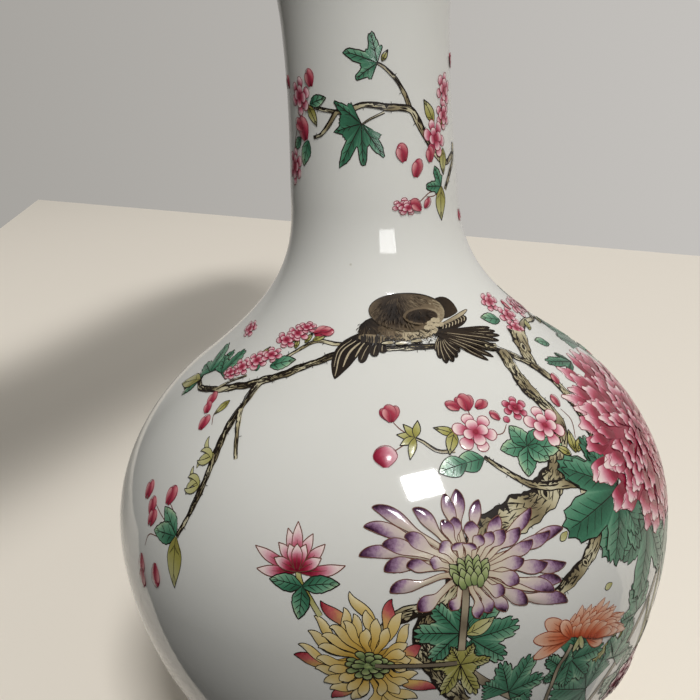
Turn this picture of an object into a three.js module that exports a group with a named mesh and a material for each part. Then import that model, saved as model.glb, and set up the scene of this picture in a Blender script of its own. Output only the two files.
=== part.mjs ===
// A globular vase with a tall neck, in glazed porcelain, as it is made at the wheel:
// three thrown sections and a foot ring, luted together with slip while the clay is leather hard.
// Millimetres, +Z up. The origin is the centre of the foot's standing face.
import * as THREE from "three";

// The outside. Rises are measured from the belly's widest level.
const bellyRadius = 120;
const bellyLowerDepth = 132.5; // semi-height that the lower half would have without its foot
const bellyUpperRise = 93.5; // semi-height of the flatter upper half
const footRadius = 49;
const footHeight = 9;
const shoulderRise = 69; // where the shoulder leaves the globe
const neckRootRise = 135; // where the shoulder's sweep has become the neck
const neckRootRadius = 34.2;
const neckWaistRise = 184;
const neckWaistRadius = 32.2;
const mouthRise = 222;
const mouthRadius = 35;

// How far each sweep follows its end's direction
const shoulderPull = 25.5;
const rootPull = 16;
const waistPull = 19;
const mouthPull = 9;
const mouthSpread = 2; // how much the flare still widens over that distance

// The wall, the floor and the foot
const wall = 4.6;
const floorThickness = 9;
const floorFillet = 9;
const undersideRise = 2; // the underside inside the foot ring is turned this much hollow
const footWidth = 7;
const footTaper = 1.4; // the ring narrows to its standing face by this much on each side
const footEdge = 1.2; // rounding of the standing face's edges

// Slip joints
const jointChamfer = 2.2;
const seamBead = 0.9; // how far the slip stands proud inside
const footFillet = 2.4;

// Facets
const turns = 64;
const outsideSteps = 11;
const insideSteps = 8;
const sweepSteps = 8;
const neckSteps = 5;
const lipSteps = 6;
const filletSteps = 4;
const edgeSteps = 2;
const offsetSteps = 240;

// Levels worked out from the driving dimensions
const bellyLevel = footHeight + bellyLowerDepth * Math.sqrt(1 - (footRadius / bellyRadius) ** 2);
const shoulderLevel = bellyLevel + shoulderRise;
const neckRootLevel = bellyLevel + neckRootRise;
const neckWaistLevel = bellyLevel + neckWaistRise;
const mouthLevel = bellyLevel + mouthRise;
const lipLevel = mouthLevel - wall / 2;
const undersideLevel = footHeight + undersideRise;
const floorLevel = undersideLevel + floorThickness;
const ringInside = footRadius - footWidth;

const point = (radius, level) => new THREE.Vector2(radius, level);

// The outline from the foot to the mouth, as curves that leave each other in line.
function lowerGlobe() {
  const start = -Math.acos(footRadius / bellyRadius);
  return new THREE.EllipseCurve(0, bellyLevel, bellyRadius, bellyLowerDepth, start, 0, false);
}

function upperGlobe() {
  const end = Math.asin(shoulderRise / bellyUpperRise);
  return new THREE.EllipseCurve(0, bellyLevel, bellyRadius, bellyUpperRise, 0, end, false);
}

function shoulderSweep() {
  const radius = bellyRadius * Math.sqrt(1 - (shoulderRise / bellyUpperRise) ** 2);
  const slope = -((bellyRadius ** 2) * shoulderRise) / (bellyUpperRise ** 2 * radius);
  const lean = (neckRootRadius - neckWaistRadius) / (neckWaistRise - neckRootRise);
  return new THREE.CubicBezierCurve(
    point(radius, shoulderLevel),
    point(radius + slope * shoulderPull, shoulderLevel + shoulderPull),
    point(neckRootRadius + lean * shoulderPull, neckRootLevel - shoulderPull),
    point(neckRootRadius, neckRootLevel),
  );
}

function lowerNeck() {
  const lean = (neckRootRadius - neckWaistRadius) / (neckWaistRise - neckRootRise);
  return new THREE.CubicBezierCurve(
    point(neckRootRadius, neckRootLevel),
    point(neckRootRadius - lean * rootPull, neckRootLevel + rootPull),
    point(neckWaistRadius, neckWaistLevel - waistPull),
    point(neckWaistRadius, neckWaistLevel),
  );
}

function upperNeck() {
  return new THREE.CubicBezierCurve(
    point(neckWaistRadius, neckWaistLevel),
    point(neckWaistRadius, neckWaistLevel + waistPull),
    point(mouthRadius - mouthSpread, mouthLevel - mouthPull),
    point(mouthRadius, mouthLevel),
  );
}

// The inside is the outside moved in by the wall's thickness, square to the surface.
function insideLine() {
  const line = [];
  for (const curve of [lowerGlobe(), upperGlobe(), shoulderSweep(), lowerNeck(), upperNeck()]) {
    for (let i = 0; i <= offsetSteps; i++) {
      const at = curve.getPointAt(i / offsetSteps);
      const along = curve.getTangentAt(i / offsetSteps);
      line.push(point(at.x - along.y * wall, at.y + along.x * wall));
    }
  }
  return line.sort((a, b) => a.y - b.y);
}

const inside = insideLine();

function insideAt(level) {
  const next = Math.max(inside.findIndex((p) => p.y >= level), 1);
  const [a, b] = [inside[next - 1], inside[next]];
  return point(THREE.MathUtils.mapLinear(level, a.y, b.y, a.x, b.x), level);
}

// Points of the inside between two levels, from the upper one down.
function insideDown(top, bottom, steps) {
  const points = [];
  for (let i = 0; i <= steps; i++) {
    points.push(insideAt(THREE.MathUtils.lerp(top, bottom, i / steps)));
  }
  return points;
}

// A quarter turn, such as a rounded edge, counted in quarters from the outward direction.
function quarter(centre, radius, from) {
  const start = (from * Math.PI) / 2;
  const arc = new THREE.EllipseCurve(centre.x, centre.y, radius, radius, start, start + Math.PI / 2);
  return arc.getPoints(edgeSteps);
}

// Turns a closed profile about the vase's axis.
function thrown(name, profile, material) {
  const geometry = new THREE.LatheGeometry([...profile, profile[0].clone()], turns);
  geometry.rotateX(Math.PI / 2);
  const mesh = new THREE.Mesh(geometry, material);
  mesh.name = name;
  return mesh;
}

// The lower half of the globe, with the floor and the hollow underside.
function lowerSection() {
  const land = ringInside - footFillet;
  const corner = insideAt(floorLevel);
  const sweep = new THREE.QuadraticBezierCurve(
    insideAt(floorLevel + floorFillet),
    corner,
    point(corner.x - floorFillet, floorLevel),
  );
  return [
    point(0, undersideLevel),
    point(land - undersideRise, undersideLevel),
    point(land, footHeight),
    ...lowerGlobe().getPoints(outsideSteps),
    point(insideAt(bellyLevel).x + jointChamfer, bellyLevel),
    ...insideDown(bellyLevel - jointChamfer, floorLevel + floorFillet, insideSteps),
    ...sweep.getPoints(filletSteps).slice(1),
    point(0, floorLevel),
  ];
}

// The upper half of the globe, with the shoulder, up to where the neck is set on.
function upperSection() {
  return [
    point(insideAt(bellyLevel).x + jointChamfer, bellyLevel),
    ...upperGlobe().getPoints(outsideSteps),
    ...shoulderSweep().getPoints(sweepSteps).slice(1),
    point(insideAt(neckRootLevel).x + jointChamfer, neckRootLevel),
    ...insideDown(neckRootLevel - jointChamfer, bellyLevel + jointChamfer, insideSteps + filletSteps),
  ];
}

// The neck, with its flare and its rounded lip.
function neckSection() {
  const flare = upperNeck().getPoints(neckSteps).filter((p) => p.y < lipLevel);
  const lipInside = insideAt(lipLevel).x;
  const lipHalf = (mouthRadius - lipInside) / 2;
  const lip = new THREE.EllipseCurve(lipInside + lipHalf, lipLevel, lipHalf, wall / 2, 0, Math.PI);
  return [
    point(insideAt(neckRootLevel).x + jointChamfer, neckRootLevel),
    ...lowerNeck().getPoints(neckSteps),
    ...flare.slice(1),
    ...lip.getPoints(lipSteps),
    ...insideDown(lipLevel, neckRootLevel + jointChamfer, insideSteps).slice(1),
  ];
}

// The turned foot: a ring that narrows to a bare standing face with softened edges.
function footSection() {
  const outerEdge = point(footRadius - footTaper - footEdge, footEdge);
  const innerEdge = point(ringInside + footTaper + footEdge, footEdge);
  return [
    ...quarter(outerEdge, footEdge, 3),
    point(footRadius, footHeight),
    point(ringInside, footHeight),
    point(ringInside, footHeight - footFillet),
    ...quarter(innerEdge, footEdge, 2),
  ];
}

// Slip pressed into the chamfers of two sections, with a soft ridge on the inside.
function lutingSeam(level) {
  const seat = insideAt(level).x;
  const ridge = new THREE.QuadraticBezierCurve(
    insideAt(level + jointChamfer),
    point(seat - 2 * seamBead, level),
    insideAt(level - jointChamfer),
  );
  return [point(seat + jointChamfer, level), ...ridge.getPoints(filletSteps)];
}

// The slip fillet in the corner between the foot ring and the underside.
function footSeam() {
  const corner = point(ringInside, footHeight);
  const hollow = new THREE.QuadraticBezierCurve(
    point(ringInside - footFillet, footHeight),
    corner,
    point(ringInside, footHeight - footFillet),
  );
  return [corner, ...hollow.getPoints(filletSteps)];
}

const porcelain = new THREE.MeshStandardMaterial({ color: "#dfe1dc", roughness: 0.1, metalness: 0 });
const biscuit = new THREE.MeshStandardMaterial({ color: "#d9cdb8", roughness: 0.8, metalness: 0 });
const slip = new THREE.MeshStandardMaterial({ color: "#d8d8d0", roughness: 0.3, metalness: 0 });

const vase = new THREE.Group();
vase.add(
  thrown("foot_ring", footSection(), biscuit),
  thrown("lower_globe", lowerSection(), porcelain),
  thrown("upper_globe", upperSection(), porcelain),
  thrown("neck", neckSection(), porcelain),
  thrown("foot_luting_seam", footSeam(), slip),
  thrown("belly_luting_seam", lutingSeam(bellyLevel), slip),
  thrown("neck_luting_seam", lutingSeam(neckRootLevel), slip),
);

export default vase;
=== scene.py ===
"""A globular vase in glazed porcelain, painted in raised overglaze enamels.

The frame gives the vase's levels and widths. Lengths are in millimetres, except where a name or docstring
says metres. A place on the vase is an azimuth in degrees, 0 at the front and positive to the right, and a
height. Most motifs are drawn on a plane that touches the vase, x to the right and y up, and turned
anticlockwise.
"""

import logging
import math
import random
from collections.abc import Callable, Sequence
from dataclasses import dataclass, field, replace
from enum import Enum

import bmesh
import bpy
import numpy as np
from mathutils import Matrix, Vector

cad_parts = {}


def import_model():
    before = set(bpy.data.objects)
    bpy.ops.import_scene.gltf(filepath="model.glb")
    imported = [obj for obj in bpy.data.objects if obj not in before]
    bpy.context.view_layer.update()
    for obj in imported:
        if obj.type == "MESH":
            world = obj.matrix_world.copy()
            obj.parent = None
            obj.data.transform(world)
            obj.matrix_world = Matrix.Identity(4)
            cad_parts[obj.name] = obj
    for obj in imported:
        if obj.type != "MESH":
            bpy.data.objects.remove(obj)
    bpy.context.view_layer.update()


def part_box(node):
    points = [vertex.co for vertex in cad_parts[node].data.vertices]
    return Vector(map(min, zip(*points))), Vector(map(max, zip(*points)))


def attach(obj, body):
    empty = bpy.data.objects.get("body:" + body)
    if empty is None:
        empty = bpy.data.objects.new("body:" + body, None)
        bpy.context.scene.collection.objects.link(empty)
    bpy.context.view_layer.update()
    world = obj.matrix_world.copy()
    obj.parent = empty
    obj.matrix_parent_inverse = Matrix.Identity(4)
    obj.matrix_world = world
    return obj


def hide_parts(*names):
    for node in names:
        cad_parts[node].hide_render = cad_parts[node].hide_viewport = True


LOG = logging.getLogger("vase")
MM = 0.001
ROOT_BODY = "root"
SIDES = (-1, 1)
# The colour sockets of a mix node that mixes colours.
MIX_A, MIX_B, MIX_OUT = 6, 7, 2

Array = np.ndarray
Real = float | np.ndarray
Point = tuple[float, float]
Place = tuple[float, float, float]
Spot = tuple[float, float, float, float]
Colour = tuple[float, float, float, float]
Pair = tuple[Array, Array]
Grid = tuple[Array, Array, Array]
Shape = Callable[[Array, Array], Grid]
Tone = Callable[[Array, Array], Array]


def linear(code: str) -> Colour:
    """Turns an sRGB hex code into linear red, green, blue and an alpha of 1.

    Args:
        code: six hex digits after a hash sign.

    Returns:
        The linear colour with alpha.
    """
    parts = [int(code[i:i + 2], 16) / 255 for i in (1, 3, 5)]
    knee, slope, offset, power = 0.04045, 12.92, 0.055, 2.4
    out = [c / slope if c <= knee else ((c + offset) / (1 + offset)) ** power for c in parts]
    return (out[0], out[1], out[2], 1.0)


def set_inputs(node: bpy.types.Node, values: dict[str | int, object]) -> None:
    """Sets inputs of a node, each given by its name or index."""
    for name, value in values.items():
        node.inputs[name].default_value = value


def add_node(tree: bpy.types.NodeTree, kind: str, settings: dict[str, object] | None = None,
             links: dict[str | int, bpy.types.NodeSocket] | None = None,
             values: dict[str | int, object] | None = None) -> bpy.types.Node:
    """Adds a node with its settings, the links into it and its input values.

    Args:
        tree: the node tree that gets the node.
        kind: the node's Blender type name.
        settings: attributes of the node itself.
        links: input name or index to the output socket that feeds it.
        values: input name or index to its value.

    Returns:
        The new node.
    """
    node = tree.nodes.new(kind)
    for name, value in (settings or {}).items():
        setattr(node, name, value)
    set_inputs(node, values or {})
    for name, socket in (links or {}).items():
        tree.links.new(socket, node.inputs[name])
    return node


def new_piece(name: str, mesh: bmesh.types.BMesh,
              materials: Sequence[bpy.types.Material]) -> bpy.types.Object:
    """Turns a mesh into an object of the scene, at the origin.

    Args:
        name: the object's name.
        mesh: its mesh, which is freed.
        materials: its materials, in the order of their slots.

    Returns:
        The new object.
    """
    made = bpy.data.meshes.new(name)
    mesh.to_mesh(made)
    mesh.free()
    for material in materials:
        made.materials.append(material)
    piece = bpy.data.objects.new(name, made)
    bpy.context.scene.collection.objects.link(piece)
    return piece


@dataclass(frozen=True)
class Finish:
    """What the finishes share: a name and the start of a material."""

    name: str

    def start(self) -> tuple[bpy.types.Material, bpy.types.NodeTree, bpy.types.Node, bpy.types.NodeSocket]:
        """Makes a new material.

        Returns:
            The material, its node tree, its shader and the socket of the object's own coordinates.
        """
        made = bpy.data.materials.new(self.name)
        made.use_nodes = True
        place = add_node(made.node_tree, "ShaderNodeTexCoord")
        return made, made.node_tree, made.node_tree.nodes["Principled BSDF"], place.outputs["Object"]


@dataclass(frozen=True)
class Enamel(Finish):
    """A fired lead-glass enamel: a translucent colour with a soft gloss, brushed on in uneven washes.

    The shade attribute runs along the ramp, from the root of a petal at 0 to its tip at 1.
    """

    ramp: tuple[tuple[float, str], ...]
    roughness: float = 0.2
    streak: float = 0.10
    wash_mm: float = 1.1
    gloss: float = 0.5
    refraction: float = 1.56
    relief: float = 0.15
    relief_mm: float = 0.2

    def material(self) -> bpy.types.Material:
        """Builds the enamel's material, with washes as coarse as the brush's own streaks."""
        made, tree, shader, place = self.start()
        shade = add_node(tree, "ShaderNodeAttribute", {"attribute_name": "shade"})
        wash = add_node(tree, "ShaderNodeTexNoise", links={"Vector": place},
            values={"Scale": 1 / (self.wash_mm * MM), "Detail": 3.0, "Roughness": 0.6})
        uneven = add_node(tree, "ShaderNodeMath", {"operation": "MULTIPLY_ADD"},
            {0: wash.outputs["Fac"], 2: shade.outputs["Fac"]}, {1: self.streak * 2})
        centred = add_node(tree, "ShaderNodeMath", {"operation": "SUBTRACT"}, {0: uneven.outputs["Value"]},
            {1: self.streak})
        ramp = add_node(tree, "ShaderNodeValToRGB", links={"Fac": centred.outputs["Value"]})
        stops = ramp.color_ramp.elements
        for i in (0, -1):
            stops[i].position, stops[i].color = self.ramp[i][0], linear(self.ramp[i][1])
        for at, code in self.ramp[1:-1]:
            stops.new(at).color = linear(code)
        bump = add_node(tree, "ShaderNodeBump", links={"Height": wash.outputs["Fac"]},
            values={"Strength": self.relief, "Distance": self.relief_mm * MM})
        tree.links.new(ramp.outputs["Color"], shader.inputs["Base Color"])
        tree.links.new(bump.outputs["Normal"], shader.inputs["Normal"])
        set_inputs(shader, {"Roughness": self.roughness, "IOR": self.refraction,
            "Specular IOR Level": self.gloss})
        return made


class Pigment(Enum):
    """The enamels on the palette."""

    ROSE = Enamel("rose_enamel", ((0.0, "#7a1128"), (0.25, "#a22f48"), (0.52, "#c26f80"), (0.8, "#dcb2b6"),
        (1.0, "#e6d2cb")))
    RUBY = Enamel("ruby_enamel", ((0.0, "#6c1020"), (0.5, "#a03346"), (1.0, "#cf9090")))
    AUBERGINE = Enamel("aubergine_enamel", ((0.0, "#c0ae92"), (0.45, "#cfc2ae"), (0.7, "#c6b3b0"),
        (0.83, "#957690"), (0.92, "#583552"), (1.0, "#26111f")), 0.12)
    AMBER = Enamel("amber_enamel", ((0.0, "#a67e2c"), (0.35, "#c5a04c"), (0.7, "#d2b876"), (1.0, "#dccda4")))
    FLAME = Enamel("ruby_tipped_amber_enamel", ((0.0, "#b8943f"), (0.55, "#c9a25e"), (0.78, "#b85c5a"),
        (1.0, "#86182c")))
    CORAL = Enamel("iron_red_enamel", ((0.0, "#a33a18"), (0.3, "#be5a34"), (0.65, "#cc8664"),
        (1.0, "#d8b096")), 0.25, 0.1)
    GREEN = Enamel("verdigris_enamel", ((0.0, "#244a36"), (0.35, "#3f7559"), (0.7, "#6b997b"),
        (1.0, "#a8c19b")))
    LIME = Enamel("lime_enamel", ((0.0, "#72692f"), (0.45, "#9c964e"), (1.0, "#c4c092")))
    SAGE = Enamel("pale_green_enamel", ((0.0, "#5c6f42"), (0.6, "#94a068"), (1.0, "#b4b98c")))
    BARK = Enamel("tan_bark_enamel", ((0.0, "#54452f"), (0.3, "#8d8060"), (0.7, "#b3a886"),
        (1.0, "#cbc3a6")), 0.3)
    SOOT = Enamel("brown_black_wash", ((0.0, "#16110d"), (0.5, "#2c221a"), (1.0, "#65563f")), 0.4, gloss=0.25)
    PLUME = Enamel("plumage_wash", ((0.0, "#150e09"), (0.35, "#33271b"), (0.7, "#6e5e48"),
        (1.0, "#bbad8f")), 0.6, 0.12, gloss=0.15)
    STEM = Enamel("stem_enamel", ((0.0, "#5c5040"), (0.5, "#8b7e68"), (1.0, "#a99c84")), 0.3)
    # The outlines are drawn in mixtures of iron and manganese that stay matt when fired.
    LINE = Enamel("black_outline", ((0.0, "#16110d"), (1.0, "#332920")), 0.5, 0.02, gloss=0.2)
    UMBER = Enamel("umber_outline", ((0.0, "#5e3428"), (1.0, "#7f5242")), 0.5, 0.02, gloss=0.2)
    MADDER = Enamel("madder_outline", ((0.0, "#7d2438"), (1.0, "#9c4a58")), 0.5, 0.02, gloss=0.2)
    RUST = Enamel("rust_outline", ((0.0, "#84300f"), (1.0, "#a85232")), 0.5, 0.02, gloss=0.2)


@dataclass(frozen=True)
class Glaze(Finish):
    """Clear feldspathic glaze over white porcelain: a cool, faintly green white with a wet gloss.

    Iron specks of about a third of a millimetre show through it, a few on each hand's breadth. Their core and
    their edge are shares of the specks' spacing.
    """

    name: str = "clear_glazed_porcelain"
    white: str = "#dcdad3"
    pooled: str = "#d1d0c9"
    cloud_mm: float = 60.0
    speck: str = "#9a8f76"
    speck_spacing_mm: float = 24.0
    speck_core: float = 0.014
    speck_edge: float = 0.030
    speck_depth: float = 0.5
    orange_peel_mm: float = 9.0
    relief: float = 0.04
    relief_mm: float = 0.6
    roughness: float = 0.06
    refraction: float = 1.52
    glow: float = 0.1
    glow_metres: Place = (0.004, 0.004, 0.0035)

    def material(self) -> bpy.types.Material:
        """Builds the glaze's material."""
        made, tree, shader, place = self.start()
        cloud = add_node(tree, "ShaderNodeTexNoise", links={"Vector": place},
            values={"Scale": 1 / (self.cloud_mm * MM), "Detail": 3.0})
        mix = add_node(tree, "ShaderNodeMix", {"data_type": "RGBA"}, {"Factor": cloud.outputs["Fac"]},
            {MIX_A: linear(self.white), MIX_B: linear(self.pooled)})
        specks = add_node(tree, "ShaderNodeTexVoronoi", {"feature": "F1"}, {"Vector": place},
            {"Scale": 1 / (self.speck_spacing_mm * MM)})
        near = add_node(tree, "ShaderNodeMapRange", links={"Value": specks.outputs["Distance"]},
            values={"From Min": self.speck_core, "From Max": self.speck_edge, "To Min": self.speck_depth,
            "To Max": 0.0})
        speckled = add_node(tree, "ShaderNodeMix", {"data_type": "RGBA"},
            {"Factor": near.outputs["Result"], MIX_A: mix.outputs[MIX_OUT]}, {MIX_B: linear(self.speck)})
        peel = add_node(tree, "ShaderNodeTexNoise", links={"Vector": place},
            values={"Scale": 1 / (self.orange_peel_mm * MM), "Detail": 2.0})
        bump = add_node(tree, "ShaderNodeBump", links={"Height": peel.outputs["Fac"]},
            values={"Strength": self.relief, "Distance": self.relief_mm * MM})
        tree.links.new(speckled.outputs[MIX_OUT], shader.inputs["Base Color"])
        tree.links.new(bump.outputs["Normal"], shader.inputs["Normal"])
        set_inputs(shader, {"Roughness": self.roughness, "IOR": self.refraction,
            "Subsurface Weight": self.glow, "Subsurface Radius": self.glow_metres, "Subsurface Scale": 1.0})
        return made


@dataclass(frozen=True)
class Biscuit(Finish):
    """Bare fired porcelain at the foot: matt, fine grained and slightly orange where the fire touched it."""

    name: str = "bare_biscuit_porcelain"
    pale: str = "#d8cdb9"
    flashed: str = "#bd9f7c"
    flash_mm: float = 14.0
    grit_mm: float = 0.6
    relief: float = 0.35
    relief_mm: float = 0.3
    roughness: float = 0.85

    def material(self) -> bpy.types.Material:
        """Builds the biscuit's material."""
        made, tree, shader, place = self.start()
        flash, grit = (add_node(tree, "ShaderNodeTexNoise", links={"Vector": place},
            values={"Scale": 1 / (size * MM), "Detail": detail})
            for size, detail in ((self.flash_mm, 4.0), (self.grit_mm, 2.0)))
        mix = add_node(tree, "ShaderNodeMix", {"data_type": "RGBA"}, {"Factor": flash.outputs["Fac"]},
            {MIX_A: linear(self.pale), MIX_B: linear(self.flashed)})
        bump = add_node(tree, "ShaderNodeBump", links={"Height": grit.outputs["Fac"]},
            values={"Strength": self.relief, "Distance": self.relief_mm * MM})
        tree.links.new(mix.outputs[MIX_OUT], shader.inputs["Base Color"])
        tree.links.new(bump.outputs["Normal"], shader.inputs["Normal"])
        set_inputs(shader, {"Roughness": self.roughness})
        return made


@dataclass
class VaseForm:
    """The vase's outline, from the frame's levels and widths and the curves between them.

    A rise is a height above the belly or the neck's root, a pull is the length of a curve's handle, and the
    steps are the points on each stretch.
    """

    belly_radius: float
    foot_top: float
    foot_radius: float
    belly_level: float
    root_level: float
    mouth_level: float
    mouth_radius: float
    upper_rise: float = 93.5
    shoulder_rise: float = 69.0
    root_radius: float = 34.2
    waist_rise: float = 49.0
    waist_radius: float = 32.2
    shoulder_pull: float = 25.5
    root_pull: float = 16.0
    waist_pull: float = 19.0
    mouth_pull: float = 9.0
    mouth_spread: float = 2.0
    wall: float = 4.6
    lip_trim: float = 0.15
    lip_steps: int = 11
    foot_width: float = 7.0
    foot_edge: tuple[Point, ...] = ((2.6, 0.0), (1.9, 0.25), (1.45, 0.9))
    foot_taper: float = 0.7
    floor_level: float = 20.0
    floor_pull: float = 0.4
    floor_draft: float = 1.5
    underside_level: float = 11.0
    underside_edge: float = 0.6
    slip: float = 2.4
    lower_steps: int = 90
    upper_steps: int = 60
    neck_steps: int = 24
    fillet_steps: int = 8

    @classmethod
    def from_frame(cls) -> "VaseForm":
        """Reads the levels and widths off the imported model."""
        ring, lower, upper, neck = (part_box(node)[1]
            for node in ("foot_ring", "lower_globe", "upper_globe", "neck"))
        return cls(belly_radius=lower.x / MM, foot_top=ring.z / MM, foot_radius=ring.x / MM,
            belly_level=lower.z / MM, root_level=upper.z / MM, mouth_level=neck.z / MM,
            mouth_radius=neck.x / MM)

    @staticmethod
    def bezier(a: Point, b: Point, c: Point, d: Point, steps: int) -> list[Point]:
        """Samples a cubic curve.

        Args:
            a: its start.
            b: the end of its first handle.
            c: the end of its second handle.
            d: its end.
            steps: how many points it gets.

        Returns:
            The points, without the start.
        """
        t = np.linspace(0, 1, steps + 1)[1:, None]
        pts = ((1 - t) ** 3 * np.array(a) + 3 * (1 - t) ** 2 * t * np.array(b)
            + 3 * (1 - t) * t * t * np.array(c) + t ** 3 * np.array(d))
        return [(float(r), float(z)) for r, z in pts]

    def globe(self, first: float, last: float, depth: float, steps: int) -> list[Point]:
        """Samples the globe, whose section is half an ellipse above the belly and another below."""
        return [(self.belly_radius * math.cos(t), self.belly_level + depth * math.sin(t))
            for t in np.linspace(first, last, steps)]

    def outside(self) -> list[Point]:
        """The outside from the foot ring to just below the lip.

        Returns:
            The radius and level of each point.
        """
        depth = ((self.belly_level - self.foot_top)
            / math.sqrt(1 - (self.foot_radius / self.belly_radius) ** 2))
        pts = self.globe(-math.acos(self.foot_radius / self.belly_radius), 0, depth, self.lower_steps)
        leave = math.asin(self.shoulder_rise / self.upper_rise)
        pts += self.globe(0, leave, self.upper_rise, self.upper_steps)[1:]
        radius, level = pts[-1]
        slope = -(self.belly_radius ** 2 * self.shoulder_rise) / (self.upper_rise ** 2 * radius)
        lean = (self.root_radius - self.waist_radius) / self.waist_rise
        root = (self.root_radius, self.root_level)
        waist = (self.waist_radius, self.root_level + self.waist_rise)
        pull = self.shoulder_pull
        pts += self.bezier((radius, level), (radius + slope * pull, level + pull),
            (root[0] + lean * pull, root[1] - pull), root, self.upper_steps)
        pts += self.bezier(root, (root[0] - lean * self.root_pull, root[1] + self.root_pull),
            (waist[0], waist[1] - self.waist_pull), waist, self.neck_steps)
        pts += self.bezier(waist, (waist[0], waist[1] + self.waist_pull),
            (self.mouth_radius - self.mouth_spread, self.mouth_level - self.mouth_pull),
            (self.mouth_radius, self.mouth_level), self.neck_steps)
        return [p for p in pts if p[1] <= self.mouth_level - self.wall / 2]

    def closed_profile(self) -> list[Point]:
        """Outside, lip, inside and underside.

        Returns:
            The radius and level of each point, starting and ending on the axis.
        """
        out = np.array(self.outside())
        along = np.gradient(out, axis=0)
        along /= np.linalg.norm(along, axis=1)[:, None]
        inner = out + np.stack([-along[:, 1], along[:, 0]], 1) * self.wall
        lip_base = self.mouth_level - self.wall / 2
        fillet = 2 * self.wall
        inner = inner[(inner[:, 1] > self.floor_level + fillet) & (inner[:, 1] < lip_base)]
        lip_centre = (out[-1, 0] + inner[-1, 0]) / 2
        half = out[-1, 0] - lip_centre
        lip = [(lip_centre + half * math.cos(a), lip_base + self.wall / 2 * math.sin(a))
            for a in np.linspace(self.lip_trim, math.pi - self.lip_trim, self.lip_steps)]
        side, top = float(inner[0, 0]), float(inner[0, 1])
        corner, pull = side - self.floor_draft, fillet * self.floor_pull
        sweep = self.bezier((side, top), (corner, self.floor_level + pull),
            (corner - pull, self.floor_level), (corner - fillet, self.floor_level), self.fillet_steps)
        floor = [(corner * share, self.floor_level) for share in (0.6, 0.3, 0.0)]
        land = self.foot_radius - self.foot_width - self.slip
        under = [(land * share, self.underside_level) for share in (0.0, 0.4, 0.8)]
        under += [(land - 2, self.underside_level), (land - self.underside_edge,
            self.underside_level - self.underside_edge), (land, self.foot_top)]
        # The wall's inside needs only every third level.
        return under + [tuple(p) for p in out] + lip + [tuple(p) for p in inner[::-3]] + sweep + floor

    def ring_profile(self) -> list[Point]:
        """The foot ring's section, from its inner bottom edge outwards and round."""
        edge = (*self.foot_edge, (self.foot_taper, self.foot_top / 2), (0.0, self.foot_top))
        inward = [(self.foot_radius - self.foot_width + inset, level) for inset, level in edge]
        return inward[:1] + [(self.foot_radius - inset, level) for inset, level in edge] + inward[:0:-1]

    def seam_profile(self) -> list[Point]:
        """The section of the slip fillet inside the foot ring, in the corner under the body."""
        corner, top, slip = self.foot_radius - self.foot_width, self.foot_top, self.slip
        hollow = self.bezier((corner - slip, top), (corner - slip * 0.35, top - slip * 0.05),
            (corner - slip * 0.05, top - slip * 0.35), (corner, top - slip), self.fillet_steps)
        return [(corner, top), (corner - slip, top)] + hollow


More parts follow.
